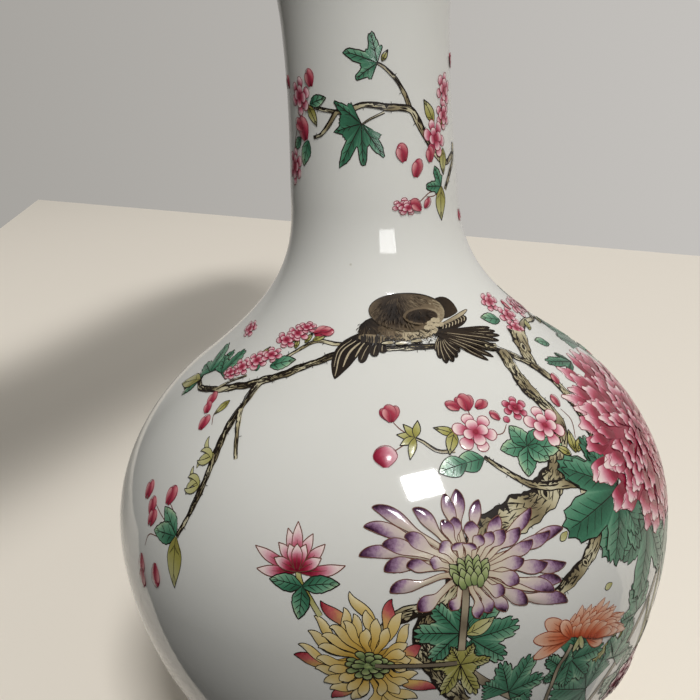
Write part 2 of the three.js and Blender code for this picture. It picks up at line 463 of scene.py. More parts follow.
@dataclass
class Ground:
    """The glazed outside, unrolled to an angle and a run along the surface, with the paint's height on it."""

    form: VaseForm
    cell: float = 0.5
    first_coat: float = 0.05
    coat: float = 0.016
    thickest: float = 1.3

    def __post_init__(self) -> None:
        """Measures the outline and lays out the cells that hold the paint's height."""
        pts = np.array(self.form.outside())
        steps = np.linalg.norm(np.diff(pts, axis=0), axis=1)
        self.length = np.concatenate([[0], np.cumsum(steps)])
        self.radius, self.level = pts[:, 0], pts[:, 1]
        along = np.gradient(pts, axis=0)
        along /= np.linalg.norm(along, axis=1)[:, None]
        self.out_r, self.out_z = along[:, 1], -along[:, 0]
        self.columns = int(2 * math.pi * self.form.belly_radius / self.cell)
        self.rows = int(self.length[-1] / self.cell) + 2
        self.paint = np.zeros((self.rows, self.columns))

    def run_at(self, height: Real) -> Real:
        """The run along the surface at a height."""
        return np.interp(height, self.level, self.length)

    def radius_at(self, run: Real) -> Real:
        """The vase's radius at a run."""
        return np.interp(run, self.length, self.radius)

    def cells(self, angle: Array, run: Array) -> Pair:
        """The row and column of the cell at each place."""
        row = np.clip(np.round(run / self.cell).astype(int), 0, self.rows - 1)
        return row, np.round(angle / (2 * math.pi) * self.columns).astype(int) % self.columns

    @staticmethod
    def finer(grid: Array) -> Array:
        """Halves the steps of a grid, both ways.

        Args:
            grid: values at the grid's points.

        Returns:
            The values with the ones half way between them.
        """
        for axis in (0, 1):
            grid = np.moveaxis(grid, axis, 0)
            out = np.empty((2 * grid.shape[0] - 1, grid.shape[1]))
            out[::2], out[1::2] = grid, (grid[1:] + grid[:-1]) / 2
            grid = np.moveaxis(out, 0, axis)
        return grid

    def settle(self, angle: Array, run: Array, dome: Array) -> Array:
        """Lays a grid of paint over what is there.

        Args:
            angle: the grid's angles in radians.
            run: the grid's runs.
            dome: height that the paint has at least, above the glaze.

        Returns:
            The height of each point above the glaze.
        """
        fine_angle, fine_run = self.finer(angle), self.finer(run)
        rows, columns = self.cells(fine_angle, fine_run)
        below = np.pad(self.paint[rows, columns], 1, mode="edge")
        high, wide = fine_angle.shape
        worst = np.max([below[i:i + high, j:j + wide] for i in range(3) for j in range(3)], axis=0)[::2, ::2]
        lift = np.maximum(np.maximum(worst, self.first_coat) + self.coat, dome)
        lift = np.minimum(lift, self.thickest)
        self.remember(rows, columns, self.finer(lift), float(self.radius_at(float(run.mean()))))
        return lift

    def remember(self, rows: Array, columns: Array, lift: Array, radius: float) -> None:
        """Notes the paint's new height in the cells around each point.

        Args:
            rows: the points' rows.
            columns: the points' columns.
            lift: the height at each point.
            radius: the vase's radius there, which says how many columns a cell's width takes.
        """
        reach = math.ceil(self.cell / (radius * 2 * math.pi / self.columns))
        for up in (-1, 0, 1):
            row = np.clip(rows + up, 0, self.rows - 1)
            for side in range(-reach, reach + 1):
                np.maximum.at(self.paint, (row, (columns + side) % self.columns), lift)

    def place(self, angle: Array, run: Array, lift: Array) -> Array:
        """Maps places on the ground to positions.

        Args:
            angle: their angles.
            run: their runs.
            lift: their heights above the glaze.

        Returns:
            The positions in metres, one row for each point.
        """
        nr, nz = np.interp(run, self.length, self.out_r), np.interp(run, self.length, self.out_z)
        r = self.radius_at(run) + nr * lift
        z = np.interp(run, self.length, self.level) + nz * lift
        return np.stack([r * np.sin(angle), -r * np.cos(angle), z], -1) * MM


def through(points: Sequence[Point], step: float) -> Array:
    """Draws a smooth line through points, as a Catmull-Rom curve.

    Args:
        points: the points that it passes, in the units of step.
        step: the length of one piece of it.

    Returns:
        The line's points, one row each.
    """
    pts = np.array(points, float)
    pts = np.concatenate([[2 * pts[0] - pts[1]], pts, [2 * pts[-1] - pts[-2]]])
    out = [pts[1]]
    for a, b, c, d in zip(pts, pts[1:], pts[2:], pts[3:]):
        count = max(int(np.linalg.norm(c - b) / step), 2)
        for t in np.linspace(0, 1, count + 1)[1:]:
            out.append(0.5 * (2 * b + (c - a) * t + (2 * a - 5 * b + 4 * c - d) * t ** 2
                + (3 * b - a - 3 * c + d) * t ** 3))
    return np.array(out)


@dataclass
class Brush:
    """Paints one group of motifs as thin patches of enamel that drape over what is painted before."""

    ground: Ground
    name: str
    azimuth: float = 0.0
    height: float = 130.0
    spin: float = 0.0
    squash: float = 1.0
    step: float = 1.1
    mesh: bmesh.types.BMesh = field(default_factory=bmesh.new)
    used: list[Pigment] = field(default_factory=list)
    grids: dict[tuple[int, int], Pair] = field(default_factory=dict)

    def __post_init__(self) -> None:
        """Makes the layer that holds each point's shade, and the seeded chance of this group."""
        self.shade = self.mesh.verts.layers.float.new("shade")
        self.chance = random.Random(self.name)

    def at(self, azimuth: float, height: float, spin: float = 0.0, squash: float = 1.0) -> "Brush":
        """Moves the drawing plane to a place on the vase."""
        self.azimuth, self.height, self.spin, self.squash = azimuth, height, spin, squash
        return self

    def wobble(self, amount: float) -> float:
        """A seeded chance value between minus and plus an amount."""
        return (self.chance.random() * 2 - 1) * amount

    def spot(self, x: Real, y: Real) -> Pair:
        """Turns places on the drawing plane into angle and run.

        Args:
            x: the places' x.
            y: the places' y.

        Returns:
            Their angles and runs.
        """
        turn = math.radians(self.spin)
        y = np.asarray(y) * self.squash
        run = self.ground.run_at(self.height) + (x * math.sin(turn) + y * math.cos(turn))
        aside = x * math.cos(turn) - y * math.sin(turn)
        return math.radians(self.azimuth) + aside / self.ground.radius_at(run), run

    def lay(self, columns: int, rows: int, shape: Shape, pigment: Pigment, dome: float | Tone = 0.0) -> None:
        """Lays one grid of enamel.

        Args:
            columns: faces across.
            rows: faces along.
            shape: gives angle, run and shade from u across, -1 to 1, and v along, 0 to 1.
            pigment: the enamel used.
            dome: height of the middle of a plump patch, or a function of u and v that gives the height.
        """
        verts = bmesh.ops.create_grid(self.mesh, x_segments=columns, y_segments=rows, size=1.0)["verts"]
        if (columns, rows) not in self.grids:
            flat = np.array([v.co for v in verts])
            self.grids[columns, rows] = (np.round((flat[:, 0] + 1) / 2 * columns).astype(int),
                np.round((flat[:, 1] + 1) / 2 * rows).astype(int))
        across, along = self.grids[columns, rows]
        u, v = np.meshgrid(np.linspace(-1, 1, columns + 1), np.linspace(0, 1, rows + 1))
        angle, run, shade = shape(u, v)
        swell = dome(u, v) if callable(dome) else dome * (1 - np.abs(u) ** 3) * np.sin(np.pi * v) ** 0.5
        lift = self.ground.settle(angle, run, swell)
        where = self.ground.place(angle, run, lift)[along, across]
        tones = np.broadcast_to(shade, u.shape)[along, across]
        if pigment not in self.used:
            self.used.append(pigment)
        slot = self.used.index(pigment)
        for vert, co, tone in zip(verts, where.tolist(), tones.tolist()):
            vert.co = co
            vert[self.shade] = tone
        for face in {f for vert in verts for f in vert.link_faces}:
            face.material_index = slot
            face.smooth = True

    def patch(self, columns: int, rows: int, shape: Shape, pigment: Pigment, dome: float | Tone) -> None:
        """Lays one grid of enamel.

        Args:
            columns: faces across.
            rows: faces along.
            shape: gives x and y on the drawing plane and the shade from u and v.
            pigment: the enamel used.
            dome: height of its middle, or a function of u and v.
        """

        def on_vase(u: Array, v: Array) -> Grid:
            """The shape's places as angle and run."""
            x, y, shade = shape(u, v)
            return *self.spot(x, y), shade

        self.lay(columns, rows, on_vase, pigment, dome)

    def oval(self, centre: Point, half: Point, tone: float | Tone, pigment: Pigment, dome: float = 0.2,
             tilt: float = 0.0) -> None:
        """Lays a plump oval.

        Args:
            centre: its middle on the drawing plane.
            half: half its width and half its height.
            tone: its shade, or a function of x and y, each from -1 to 1, that gives it.
            pigment: the enamel used.
            dome: height of its middle.
            tilt: its turn in degrees.
        """
        lean = math.radians(tilt)

        def shape(u: Array, v: Array) -> Grid:
            """Maps the grid round the middle."""
            x, y = np.sin(np.pi * u) * np.maximum(v, 0.02), np.cos(np.pi * u) * np.maximum(v, 0.02)
            px, py = half[0] * x, half[1] * y
            return (centre[0] + px * math.cos(lean) - py * math.sin(lean),
                centre[1] + px * math.sin(lean) + py * math.cos(lean),
                np.clip(tone(x, y) if callable(tone) else tone, 0, 1))

        columns = max(int(math.pi * (half[0] + half[1]) / 1.5), 8)
        self.patch(columns, max(int(max(half) / 1.5), 2), shape, pigment,
            lambda u, v: dome * np.sqrt(np.maximum(1 - v ** 2, 0.0)))

    def ribbon(self, angle: Array, run: Array, half: Array, pigment: Pigment, tone: Real = 0.0,
               columns: int = 1, dome: float = 0.0, span: tuple[Real, Real] = (-1.0, 1.0)) -> None:
        """Lays a strip along a line on the vase.

        Args:
            angle: the line's angles.
            run: the line's runs.
            half: half the strip's width at each point.
            pigment: the enamel used.
            tone: shade at each point, or one for all.
            columns: faces across.
            dome: height of its middle.
            span: the part of the width that is laid, from left to right in shares of half.
        """
        radius = self.ground.radius_at(run)
        dx, dy, size = self.heading(angle, run, radius)
        low, high = (np.broadcast_to(edge, run.shape) for edge in span)
        steps = np.arange(len(run)) / (len(run) - 1)

        def shape(u: Array, v: Array) -> Grid:
            """Maps the grid along the line."""
            row = np.round(v * (len(run) - 1)).astype(int)
            out = (low[row] + (high[row] - low[row]) * (u + 1) / 2) * half[row]
            return (angle[row] + dy[row] / size[row] * out / radius[row],
                run[row] - dx[row] / size[row] * out, np.interp(v, steps, np.broadcast_to(tone, run.shape)))

        self.lay(columns, len(run) - 1, shape, pigment, dome)

    @staticmethod
    def heading(angle: Array, run: Array, radius: Array) -> Grid:
        """The way that a line goes."""
        dx, dy = np.gradient(angle) * radius, np.gradient(run)
        return dx, dy, np.maximum(np.hypot(dx, dy), 1e-9)

    def beside(self, angle: Array, run: Array, out: Real) -> Pair:
        """Draws a line beside another.

        Args:
            angle: the other's angles.
            run: the other's runs.
            out: how far it lies to the right.

        Returns:
            Its angles and runs.
        """
        radius = self.ground.radius_at(run)
        dx, dy, size = self.heading(angle, run, radius)
        return angle + dy / size * out / radius, run - dx / size * out

    def route(self, spots: Sequence[Point], step: float | None = None) -> Pair:
        """Draws a smooth line through azimuths and heights.

        Args:
            spots: the azimuths and heights.
            step: the length of one piece, the brush's own if none is given.

        Returns:
            The line's angles and runs.
        """
        turn = np.radians([s[0] for s in spots])
        run = self.ground.run_at(np.array([s[1] for s in spots], float))
        scale = float(self.ground.radius_at(run).mean())
        pts = through(list(zip(turn * scale, run)), step or self.step)
        return pts[:, 0] / scale, pts[:, 1]

    def stroke(self, line: Sequence[Point] | Array, width: float, pigment: Pigment = Pigment.LINE,
               taper: float = 0.3, tone: float = 0.3, smooth: bool = True) -> None:
        """Draws a brush line through points of the drawing plane."""
        pts = through(line, self.step) if smooth else np.array(line, float)
        self.hair(*self.spot(pts[:, 0], pts[:, 1]), width, pigment, taper, tone)

    def hair(self, angle: Array, run: Array, width: float, pigment: Pigment = Pigment.LINE,
             taper: float = 0.3, tone: float = 0.3) -> None:
        """Draws a brush line along angles and runs.

        Args:
            angle: the line's angles.
            run: the line's runs.
            width: full width at its middle.
            pigment: the enamel used.
            taper: share of the width left at its ends.
            tone: place on the pigment's ramp.
        """
        v = np.linspace(0, 1, len(run))
        press = taper + (1 - taper) * np.sin(np.pi * np.clip(v, 0.01, 0.99)) ** 0.6
        self.ribbon(angle, run, width / 2 * press, pigment, tone)

    def vine(self, spots: Sequence[Point], width: float, taper: float = 1.0, pigment: Pigment = Pigment.STEM,
             line: float = 0.32) -> None:
        """Paints an outlined stem through azimuths and heights.

        Args:
            spots: the places that its middle follows.
            width: full width.
            taper: share of the width left at its far end.
            pigment: the enamel of its body.
            line: width of the outline.
        """
        angle, run = self.route(spots)
        half = width / 2 * (1 + (taper - 1) * np.linspace(0, 1, len(run)))
        self.ribbon(angle, run, half, pigment, 0.5 + 0.3 * np.sin(run * 0.5), 2, 0.12)
        for side in SIDES:
            self.hair(*self.beside(angle, run, half * side), line, Pigment.LINE, 0.6)

    def finish(self) -> bpy.types.Object:
        """Makes the painted object, which stays on the vase.

        Returns:
            The new piece.
        """
        finishes = [bpy.data.materials.get(pigment.value.name) or pigment.value.material()
            for pigment in self.used]
        piece = new_piece(self.name, self.mesh, finishes)
        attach(piece, ROOT_BODY)
        LOG.info("%s: %d faces", self.name, len(piece.data.polygons))
        return piece


@dataclass(frozen=True)
class Blade:
    """One petal, leaf or feather: a bent blade with an outline, drawn from its root.

    Shares are of its length or of its half width. A neck keeps it slim up to there, as in a spoon-shaped
    petal, and a blunt blade ends in a rounded edge, which crown bows and frills of a notch's depth scallop.
    Rays and veins are drawn on it, and teeth cut its edge as deep as bite says.
    """

    length: float
    width: float
    bend: float = 0.0
    sway: float = 0.0
    widest: float = 0.6
    root: float = 0.15
    neck: float = 0.0
    tip: float = 0.6
    blunt: float = 0.0
    crown: float = 0.0
    notch: float = 0.0
    frills: float = 1.0
    pigment: Pigment = Pigment.ROSE
    outline: Pigment | None = Pigment.UMBER
    line: float = 0.36
    plump: float = 0.12
    tones: Point = (0.0, 1.0)
    rim: float = 0.0
    side: float = 0.0
    rays: int = 0
    veins: int = 0
    teeth: int = 0
    bite: float = 0.12

    def half_width(self, v: Array) -> Array:
        """Half the blade's width along it.

        Args:
            v: shares of the length.

        Returns:
            Half the width at each.
        """
        rise = np.clip((v - self.neck) / (self.widest - self.neck), 0, 1)
        swell = 0.5 - 0.5 * np.cos(np.pi * rise) if self.neck else np.sin(np.pi / 2 * rise)
        fall = np.clip((v - self.widest) / (1 - self.widest), 0, 1)
        above = 1 - (1 - self.blunt) * fall ** 2.2 if self.blunt else np.cos(np.pi / 2 * fall) ** self.tip
        share = np.where(v < self.widest, self.root + (1 - self.root) * swell, above)
        if self.teeth:
            share = share * (1 - self.bite * ((v * self.teeth) % 1.0)
                * np.sin(np.pi * np.clip(v, 0, 1)) ** 0.5)
        return np.maximum(self.width / 2 * share, 0.02)

    def skin(self, u: Real, v: Real, x: float, y: float, turn: float) -> Pair:
        """Places on the blade.

        Args:
            u: shares of the half width, from -1 at its left to 1.
            v: shares of the length, from 0 at its root to 1.
            x: the root's place.
            y: the root's place.
            turn: the heading at its root, from straight up in degrees.

        Returns:
            The places' x and y on the drawing plane.
        """
        pieces = 39
        fine = np.linspace(0, 1, pieces + 1)
        heading = np.radians(turn + self.bend * (fine - 0.25) + self.sway * np.sin(2 * np.pi * fine))
        head = np.interp(v, fine, heading)
        out = u * self.half_width(np.asarray(v))
        scallop = 0.5 + 0.5 * np.cos(2 * np.pi * self.frills * u)
        short = self.length * v ** 4 * (self.crown * u ** 2 + self.notch * scallop)
        middle = [np.interp(v, fine,
            start + np.concatenate([[0], np.cumsum((way[1:] + way[:-1]) / 2)]) * self.length / pieces)
            for start, way in ((x, -np.sin(heading)), (y, np.cos(heading)))]
        return (middle[0] + np.cos(head) * out + np.sin(head) * short,
            middle[1] + np.sin(head) * out - np.cos(head) * short)

    def line_on(self, brush: Brush, spots: Sequence[Point], x: float, y: float, turn: float, width: float,
                pigment: Pigment, tone: float = 0.2) -> None:
        """Draws a line on the blade."""
        along, across = np.array([s[0] for s in spots]), np.array([s[1] for s in spots])
        brush.stroke(np.stack(self.skin(across, along, x, y, turn), 1), width, pigment, 0.3, tone)

    def ease(self, v: Array) -> Array:
        """Sets rows closer together at a round tip."""
        return v if self.teeth or self.blunt else 1 - (1 - v) ** 1.5

    def paint(self, brush: Brush, x: float = 0.0, y: float = 0.0, turn: float = 0.0) -> None:
        """Paints the blade.

        Args:
            brush: where it is painted.
            x: the root's place.
            y: the root's place.
            turn: its heading, from straight up in degrees.
        """
        rows = int(np.clip(self.length / 1.5, 6, 26)) + 2 * self.teeth
        columns = int(np.clip(self.width / 1.3 * max(self.frills, 1), 4, 12)) // 2 * 2

        def shape(u: Array, v: Array) -> Grid:
            """Maps the grid to the blade."""
            v = self.ease(v)
            tone = (self.tones[0] + (self.tones[1] - self.tones[0]) * v + self.rim * np.abs(u) ** 3
                + self.side * u)
            return *self.skin(u, v, x, y, turn), np.clip(tone, 0, 1)

        brush.patch(columns, rows, shape, self.pigment, self.plump)
        self.paint_lines(brush, x, y, turn)
        if self.outline:
            v = self.ease(np.linspace(0, 1, rows + 5))
            edges = [self.skin(-1.0, v, x, y, turn), self.skin(1.0, v[::-1], x, y, turn)]
            if self.blunt:
                across = np.linspace(-1, 1, 2 * columns + 1)[1:-1]
                edges.insert(1, self.skin(across, np.ones(len(across)), x, y, turn))
            brush.stroke(np.concatenate([np.stack(s, 1) for s in edges]), self.line, self.outline, 0.6,
                smooth=False)

    def paint_lines(self, brush: Brush, x: float, y: float, turn: float) -> None:
        """Draws the rays that stream from the root, and the midrib with its side veins.

        Args:
            brush: where they are painted.
            x: the root's place.
            y: the root's place.
            turn: the blade's heading.
        """
        ink, fine, bold = self.outline or Pigment.LINE, 0.22, 0.3
        lines = []
        for i in range(self.rays):
            share = ((i + 1) / (self.rays + 1) * 2 - 1) * 0.8
            far = 0.62 + 0.1 * ((i * 7) % 3)
            lines.append((fine, [(0.05, share), (far * 0.5, share), (far, share)]))
        if self.veins:
            lines.append((bold, [(0.0, 0), (0.3, 0), (0.6, 0), (0.93, 0)]))
        for i in range(self.veins):
            start = 0.16 + 0.56 * i / max(self.veins - 1, 1)
            for side in SIDES:
                lines.append((fine, [(start, 0), (start + 0.1, 0.4 * side),
                    (min(start + 0.2, 0.97), 0.8 * side)]))
        for width, spots in lines:
            self.line_on(brush, spots, x, y, turn, width, ink)


@dataclass(frozen=True)
class Leaf:
    """A leaf cut into lobes round one root, with a vein to each lobe.

    Each lobe has its direction, clockwise from straight up in degrees, its share of the length and its half
    spread.
    """

    length: float
    lobes: tuple[Place, ...]
    web: float = 0.45
    point: float = 1.5
    teeth: float = 0.1
    tooth_degrees: float = 10.0
    pigment: Pigment = Pigment.GREEN
    outline: Pigment = Pigment.LINE
    line: float = 0.42
    rib_line: float = 0.36
    vein_line: float = 0.22
    tones: Point = (0.15, 1.05)
    plump: float = 0.1
    side_veins: int = 3

    def reach(self, phi: Array) -> Pair:
        """Measures the leaf in each direction.

        Args:
            phi: the directions.

        Returns:
            Its radius, and how far that lies to a side of its lobe's vein, from -1 to 1.
        """
        best = np.full(phi.shape, self.web)
        side = np.zeros(phi.shape)
        for direction, share, spread in self.lobes:
            off = np.clip((phi - direction) / spread, -1, 1)
            lobe = share * (1 - np.abs(off) ** self.point)
            side = np.where(lobe > best, off, side)
            best = np.maximum(best, lobe)
        scallop = np.abs(np.sin(np.pi * phi / self.tooth_degrees))
        return self.length * best * (1 - self.teeth * (1 - scallop)), side

    @staticmethod
    def turned(x: Real, y: Real, turn: float, root_x: float, root_y: float) -> Pair:
        """Turns places of the leaf and moves them to its root."""
        a = math.radians(turn)
        return root_x + x * math.cos(a) - y * math.sin(a), root_y + x * math.sin(a) + y * math.cos(a)

    def paint(self, brush: Brush, x: float = 0.0, y: float = 0.0, turn: float = 0.0) -> None:
        """Paints the leaf.

        Args:
            brush: where it is painted.
            x: the root's place.
            y: the root's place.
            turn: its heading, from straight up in degrees.
        """
        first = min(d - s for d, _, s in self.lobes)
        last = max(d + s for d, _, s in self.lobes)
        columns = int((last - first) / self.tooth_degrees * 3) // 2 * 2

        def shape(u: Array, v: Array) -> Grid:
            """Maps the grid round the root."""
            phi = first + (last - first) * (u + 1) / 2
            far, side = self.reach(phi)
            r = np.maximum(v, 0.02) * far
            px, py = self.turned(r * np.sin(np.radians(phi)), r * np.cos(np.radians(phi)), turn, x, y)
            share = v * (0.35 + 0.65 * np.abs(side)) + 0.16 * np.sign(side) * v
            return px, py, np.clip(self.tones[0] + (self.tones[1] - self.tones[0]) * share, 0, 1)

        brush.patch(columns, int(np.clip(self.length / 1.8, 4, 14)), shape, self.pigment, self.plump)
        for lobe in self.lobes:
            self.paint_veins(brush, x, y, turn, *lobe)
        phi = np.linspace(first, last, columns + 1)
        far, _ = self.reach(phi)
        edge = self.turned(far * np.sin(np.radians(phi)), far * np.cos(np.radians(phi)), turn, x, y)
        line = np.concatenate([[[x, y]], np.stack(edge, 1), [[x, y]]])
        brush.stroke(line, self.line, self.outline, 0.7, smooth=False)

    def paint_veins(self, brush: Brush, x: float, y: float, turn: float, direction: float, share: float,
                    spread: float) -> None:
        """Draws one lobe's midrib and its side veins.

        Args:
            brush: where they are painted.
            x: the root's place.
            y: the root's place.
            turn: the leaf's heading.
            direction: the lobe's direction.
            share: its share of the length.
            spread: its half spread.
        """
        a = math.radians(direction)
        far = self.length * share

        def at(along: float, aside: float) -> Point:
            """A place on the lobe, along its midrib and to the right of it, in shares of its length."""
            px = math.sin(a) * along + math.cos(a) * aside
            py = math.cos(a) * along - math.sin(a) * aside
            return self.turned(px * far, py * far, turn, x, y)

        brush.stroke([at(0, 0), at(0.45, 0.01), at(0.9, 0)], self.rib_line, self.outline, 0.3)
        for i in range(self.side_veins):
            start = 0.36 + 0.38 * i / max(self.side_veins - 1, 1)
            opening = min((0.85 - start) ** (1 / self.point) * spread, 50)
            wide = math.tan(math.radians(opening)) * (start + 0.15) * 0.7
            for side in SIDES:
                brush.stroke([at(start, 0), at(start + 0.08, wide * 0.45 * side),
                    at(start + 0.15, wide * side)], self.vein_line, self.outline, 0.2)


@dataclass(frozen=True)
class Blossom:
    """A double crab-apple blossom: rings of round petals, pale at the rim and ruby in the folds.

    Each ring has its number of petals, and the place of their roots and their size as shares.
    """

    radius: float
    deep: float = 0.0
    rings: tuple[tuple[int, float, float], ...] = ((6, 0.38, 1.0), (4, 0.05, 0.9))

    def paint(self, brush: Brush, turn: float) -> None:
        """Paints the blossom round the brush's place.

        Args:
            brush: where it is painted.
            turn: its turn in degrees.
        """
        r = self.radius
        petal = Blade(r * 0.66, r * 0.6, widest=0.6, root=0.4, tip=0.5, outline=Pigment.MADDER, line=0.26,
            plump=0.3, tones=(-0.1 - self.deep, 1.0 - self.deep), rim=0.12)
        for count, root, share in self.rings:
            for i in range(count):
                a = turn + 360 * i / count + brush.wobble(6)
                rad = math.radians(a)
                size = share * (1 + brush.wobble(0.08))
                replace(petal, length=petal.length * size, width=petal.width * size).paint(brush,
                    -math.sin(rad) * r * root, math.cos(rad) * r * root, a)
        Blade(r * 0.24, r * 0.24, tip=0.5, widest=0.5, root=0.5, pigment=Pigment.RUBY, outline=None,
            plump=0.15, tones=(0.2, 0.4)).paint(brush, 0, -r * 0.1)


@dataclass(frozen=True)
class Bud:
    """A long ruby bud: one petal wrapped half way round another, and for a fat bud one more at each side."""

    radius: float
    fat: bool = False

    def paint(self, brush: Brush, y: float, turn: float) -> None:
        """Paints the bud.

        Args:
            brush: where it is painted.
            y: the root's place.
            turn: its heading, from straight up in degrees.
        """
        r = self.radius
        back = Blade(r * 2.4, r * 1.5, widest=0.6, root=0.2, tip=0.5, pigment=Pigment.RUBY,
            outline=Pigment.MADDER, line=0.26, plump=0.5, tones=(0.1, 0.75), side=0.25)
        for lean in (-24, 24) if self.fat else ():
            replace(back, length=back.length * 0.92, width=back.width * 0.8).paint(brush, 0, y, turn + lean)
        back.paint(brush, 0, y, turn)
        near = replace(back, length=back.length * 0.8, width=back.width * 0.6, tones=(0.3, 1.0), side=-0.35)
        lean = math.radians(turn)
        near.paint(brush, -math.cos(lean) * r * 0.3, y - math.sin(lean) * r * 0.3, turn + 8)


@dataclass(frozen=True)
class Course:
    """Where a bough runs: its middle's angles and runs, its half widths and the distances from its root."""

    angle: Array
    run: Array
    half: Array
    along: Array

    def sample(self, values: Array, at: Real) -> Real:
        """A row of values of the course at distances from its root."""
        return np.interp(at, self.along, values)


@dataclass(frozen=True)
class Bough:
    """A branch of old wood: a tan body, a black wash down one side, bark strokes, knots and rough edges.

    The shadow's side is 1 for the right of its direction and -1 for the left. Knots are given by their
    share of its length, and a branch with a half width over the slim one is drawn with bolder edges.
    """

    spots: tuple[Point, ...]
    widths: tuple[float, ...]
    wash: float = 0.55
    rough: float = 0.16
    bark: float = 1.0
    knots: tuple[float, ...] = ()
    shadow: int = 1
    step: float = 0.8
    slim: float = 1.2

    def paint(self, brush: Brush) -> None:
        """Paints the branch.

        Args:
            brush: what it is painted with.
        """
        angle, run = brush.route(self.spots, self.step)
        radius = brush.ground.radius_at(run)
        pieces = np.hypot(np.diff(angle) * radius[1:], np.diff(run))
        along = np.concatenate([[0], np.cumsum(pieces)])
        half = np.interp(along / along[-1], np.linspace(0, 1, len(self.widths)), self.widths) / 2
        course = Course(angle, run, half, along)
        edges = {side: half * self.rough_edge(brush, along) for side in SIDES}
        span = (-edges[-1] / half, edges[1] / half)
        big = float(half.max()) > self.slim
        brush.ribbon(angle, run, half, Pigment.BARK, 0.55 + 0.35 * np.sin(along * 0.35 + brush.wobble(3)),
            6 if big else 2, 0.16, span)
        self.paint_wash(brush, course, span)
        if self.bark:
            self.paint_bark(brush, course)
        for share in self.knots:
            self.paint_knot(brush, course, share)
        for side in SIDES:
            edge = brush.beside(angle, run, edges[side] * side)
            width = 0.55 if side == self.shadow else 0.38
            brush.hair(*edge, width if big else width * 0.75, Pigment.LINE, 0.7)
            self.paint_moss(brush, *edge, side)

    def rough_edge(self, brush: Brush, along: Array) -> Array:
        """Roughens an edge.

        Args:
            brush: its chance shifts the waves.
            along: distances from the root.

        Returns:
            How far the edge stands from the middle, in shares of the half width.
        """
        shift = brush.chance.random() * 20
        swell = (np.sin(along * 0.42 + shift) + 0.7 * np.sin(along * 0.97 + shift * 2)
            + 0.2 * np.sin(along * 2.1 + shift))
        return 1 + self.rough * swell * 0.6

    def paint_wash(self, brush: Brush, course: Course, span: Pair) -> None:
        """Washes the shaded side in black, with a ragged inner edge.

        Args:
            brush: what it is painted with.
            course: where the bough runs.
            span: its rough edges, in shares of the half width.
        """
        shift = brush.chance.random() * 9
        ragged = ((0.5 + 0.5 * np.sin(course.along * 1.3 + shift))
            * (0.5 + 0.5 * np.sin(course.along * 3.1 + shift * 3)))
        patchy = 0.5 + 0.5 * np.sin(course.along * 0.28 + shift)
        depth = self.wash * (0.2 + 0.8 * ragged) * (0.4 + 0.6 * patchy)
        shaded = (span[0], span[0] + 2 * depth) if self.shadow < 0 else (span[1] - 2 * depth, span[1])
        brush.ribbon(course.angle, course.run, course.half, Pigment.SOOT, 0.25, 2, 0.0, shaded)

    def paint_bark(self, brush: Brush, course: Course) -> None:
        """Strokes the bark with short lines that run with the grain.

        Args:
            brush: what it is painted with.
            course: where the bough runs.
        """
        end = course.along[-1]
        for _ in range(int(end * self.bark * np.clip(course.half.mean() / 1.3, 0.5, 2.2))):
            start = brush.chance.random() * end
            s = np.linspace(start, min(start + (1.2 + brush.chance.random() * 3.2), end), 5)
            off, drift = brush.wobble(0.8), brush.wobble(0.35)
            out = (off + drift * np.linspace(0, 1, 5)) * course.sample(course.half, s)
            line = brush.beside(course.sample(course.angle, s), course.sample(course.run, s), out)
            brush.hair(*line, 0.2 + brush.chance.random() * 0.32, Pigment.SOOT, 0.15,
                brush.chance.random() * 0.5)

    def paint_knot(self, brush: Brush, course: Course, share: float) -> None:
        """Draws a hollow knot as a ring round a dark middle.

        Args:
            brush: what it is painted with.
            course: where the bough runs.
            share: the knot's place, as a share of the length.
        """
        v = course.along / course.along[-1]
        angle, run, half = (float(np.interp(share, v, values))
            for values in (course.angle, course.run, course.half))
        height = float(np.interp(run, brush.ground.length, brush.ground.level))
        brush.at(math.degrees(angle), height, brush.wobble(40))
        size = min(half * 0.62, 2.4)
        Blade(size * 2, size * 1.5, widest=0.5, tip=0.5, root=0.3, pigment=Pigment.BARK,
            outline=Pigment.LINE, line=0.3, plump=0.0, tones=(0.6, 0.9)).paint(brush, 0, -size)
        Blade(size * 1.2, size * 0.7, widest=0.5, tip=0.6, root=0.3, pigment=Pigment.SOOT, outline=None,
            plump=0.0, tones=(0.0, 0.5)).paint(brush, 0, -size * 0.6)

    def paint_moss(self, brush: Brush, angle: Array, run: Array, side: int) -> None:
        """Sets a few fine ticks of moss along an edge.

        Args:
            brush: what they are painted with.
            angle: the edge's angles.
            run: the edge's runs.
            side: which edge it is.
        """
        radius = float(brush.ground.radius_at(run).mean())
        for _ in range(int(len(run) * 0.07)):
            i = int(brush.chance.random() * (len(run) - 2)) + 1
            dx, dy = (angle[i] - angle[i - 1]) * radius, run[i] - run[i - 1]
            size = max(math.hypot(dx, dy), 1e-9)
            reach = 0.6 + brush.chance.random() * 0.7
            ox = dy / size * side * reach + brush.wobble(0.3)
            oy = -dx / size * side * reach + brush.wobble(0.3)
            steps = np.linspace(0, 1, 3)
            brush.hair(angle[i] + steps * ox / radius, run[i] + steps * oy, 0.24, Pigment.LINE, 0.3)


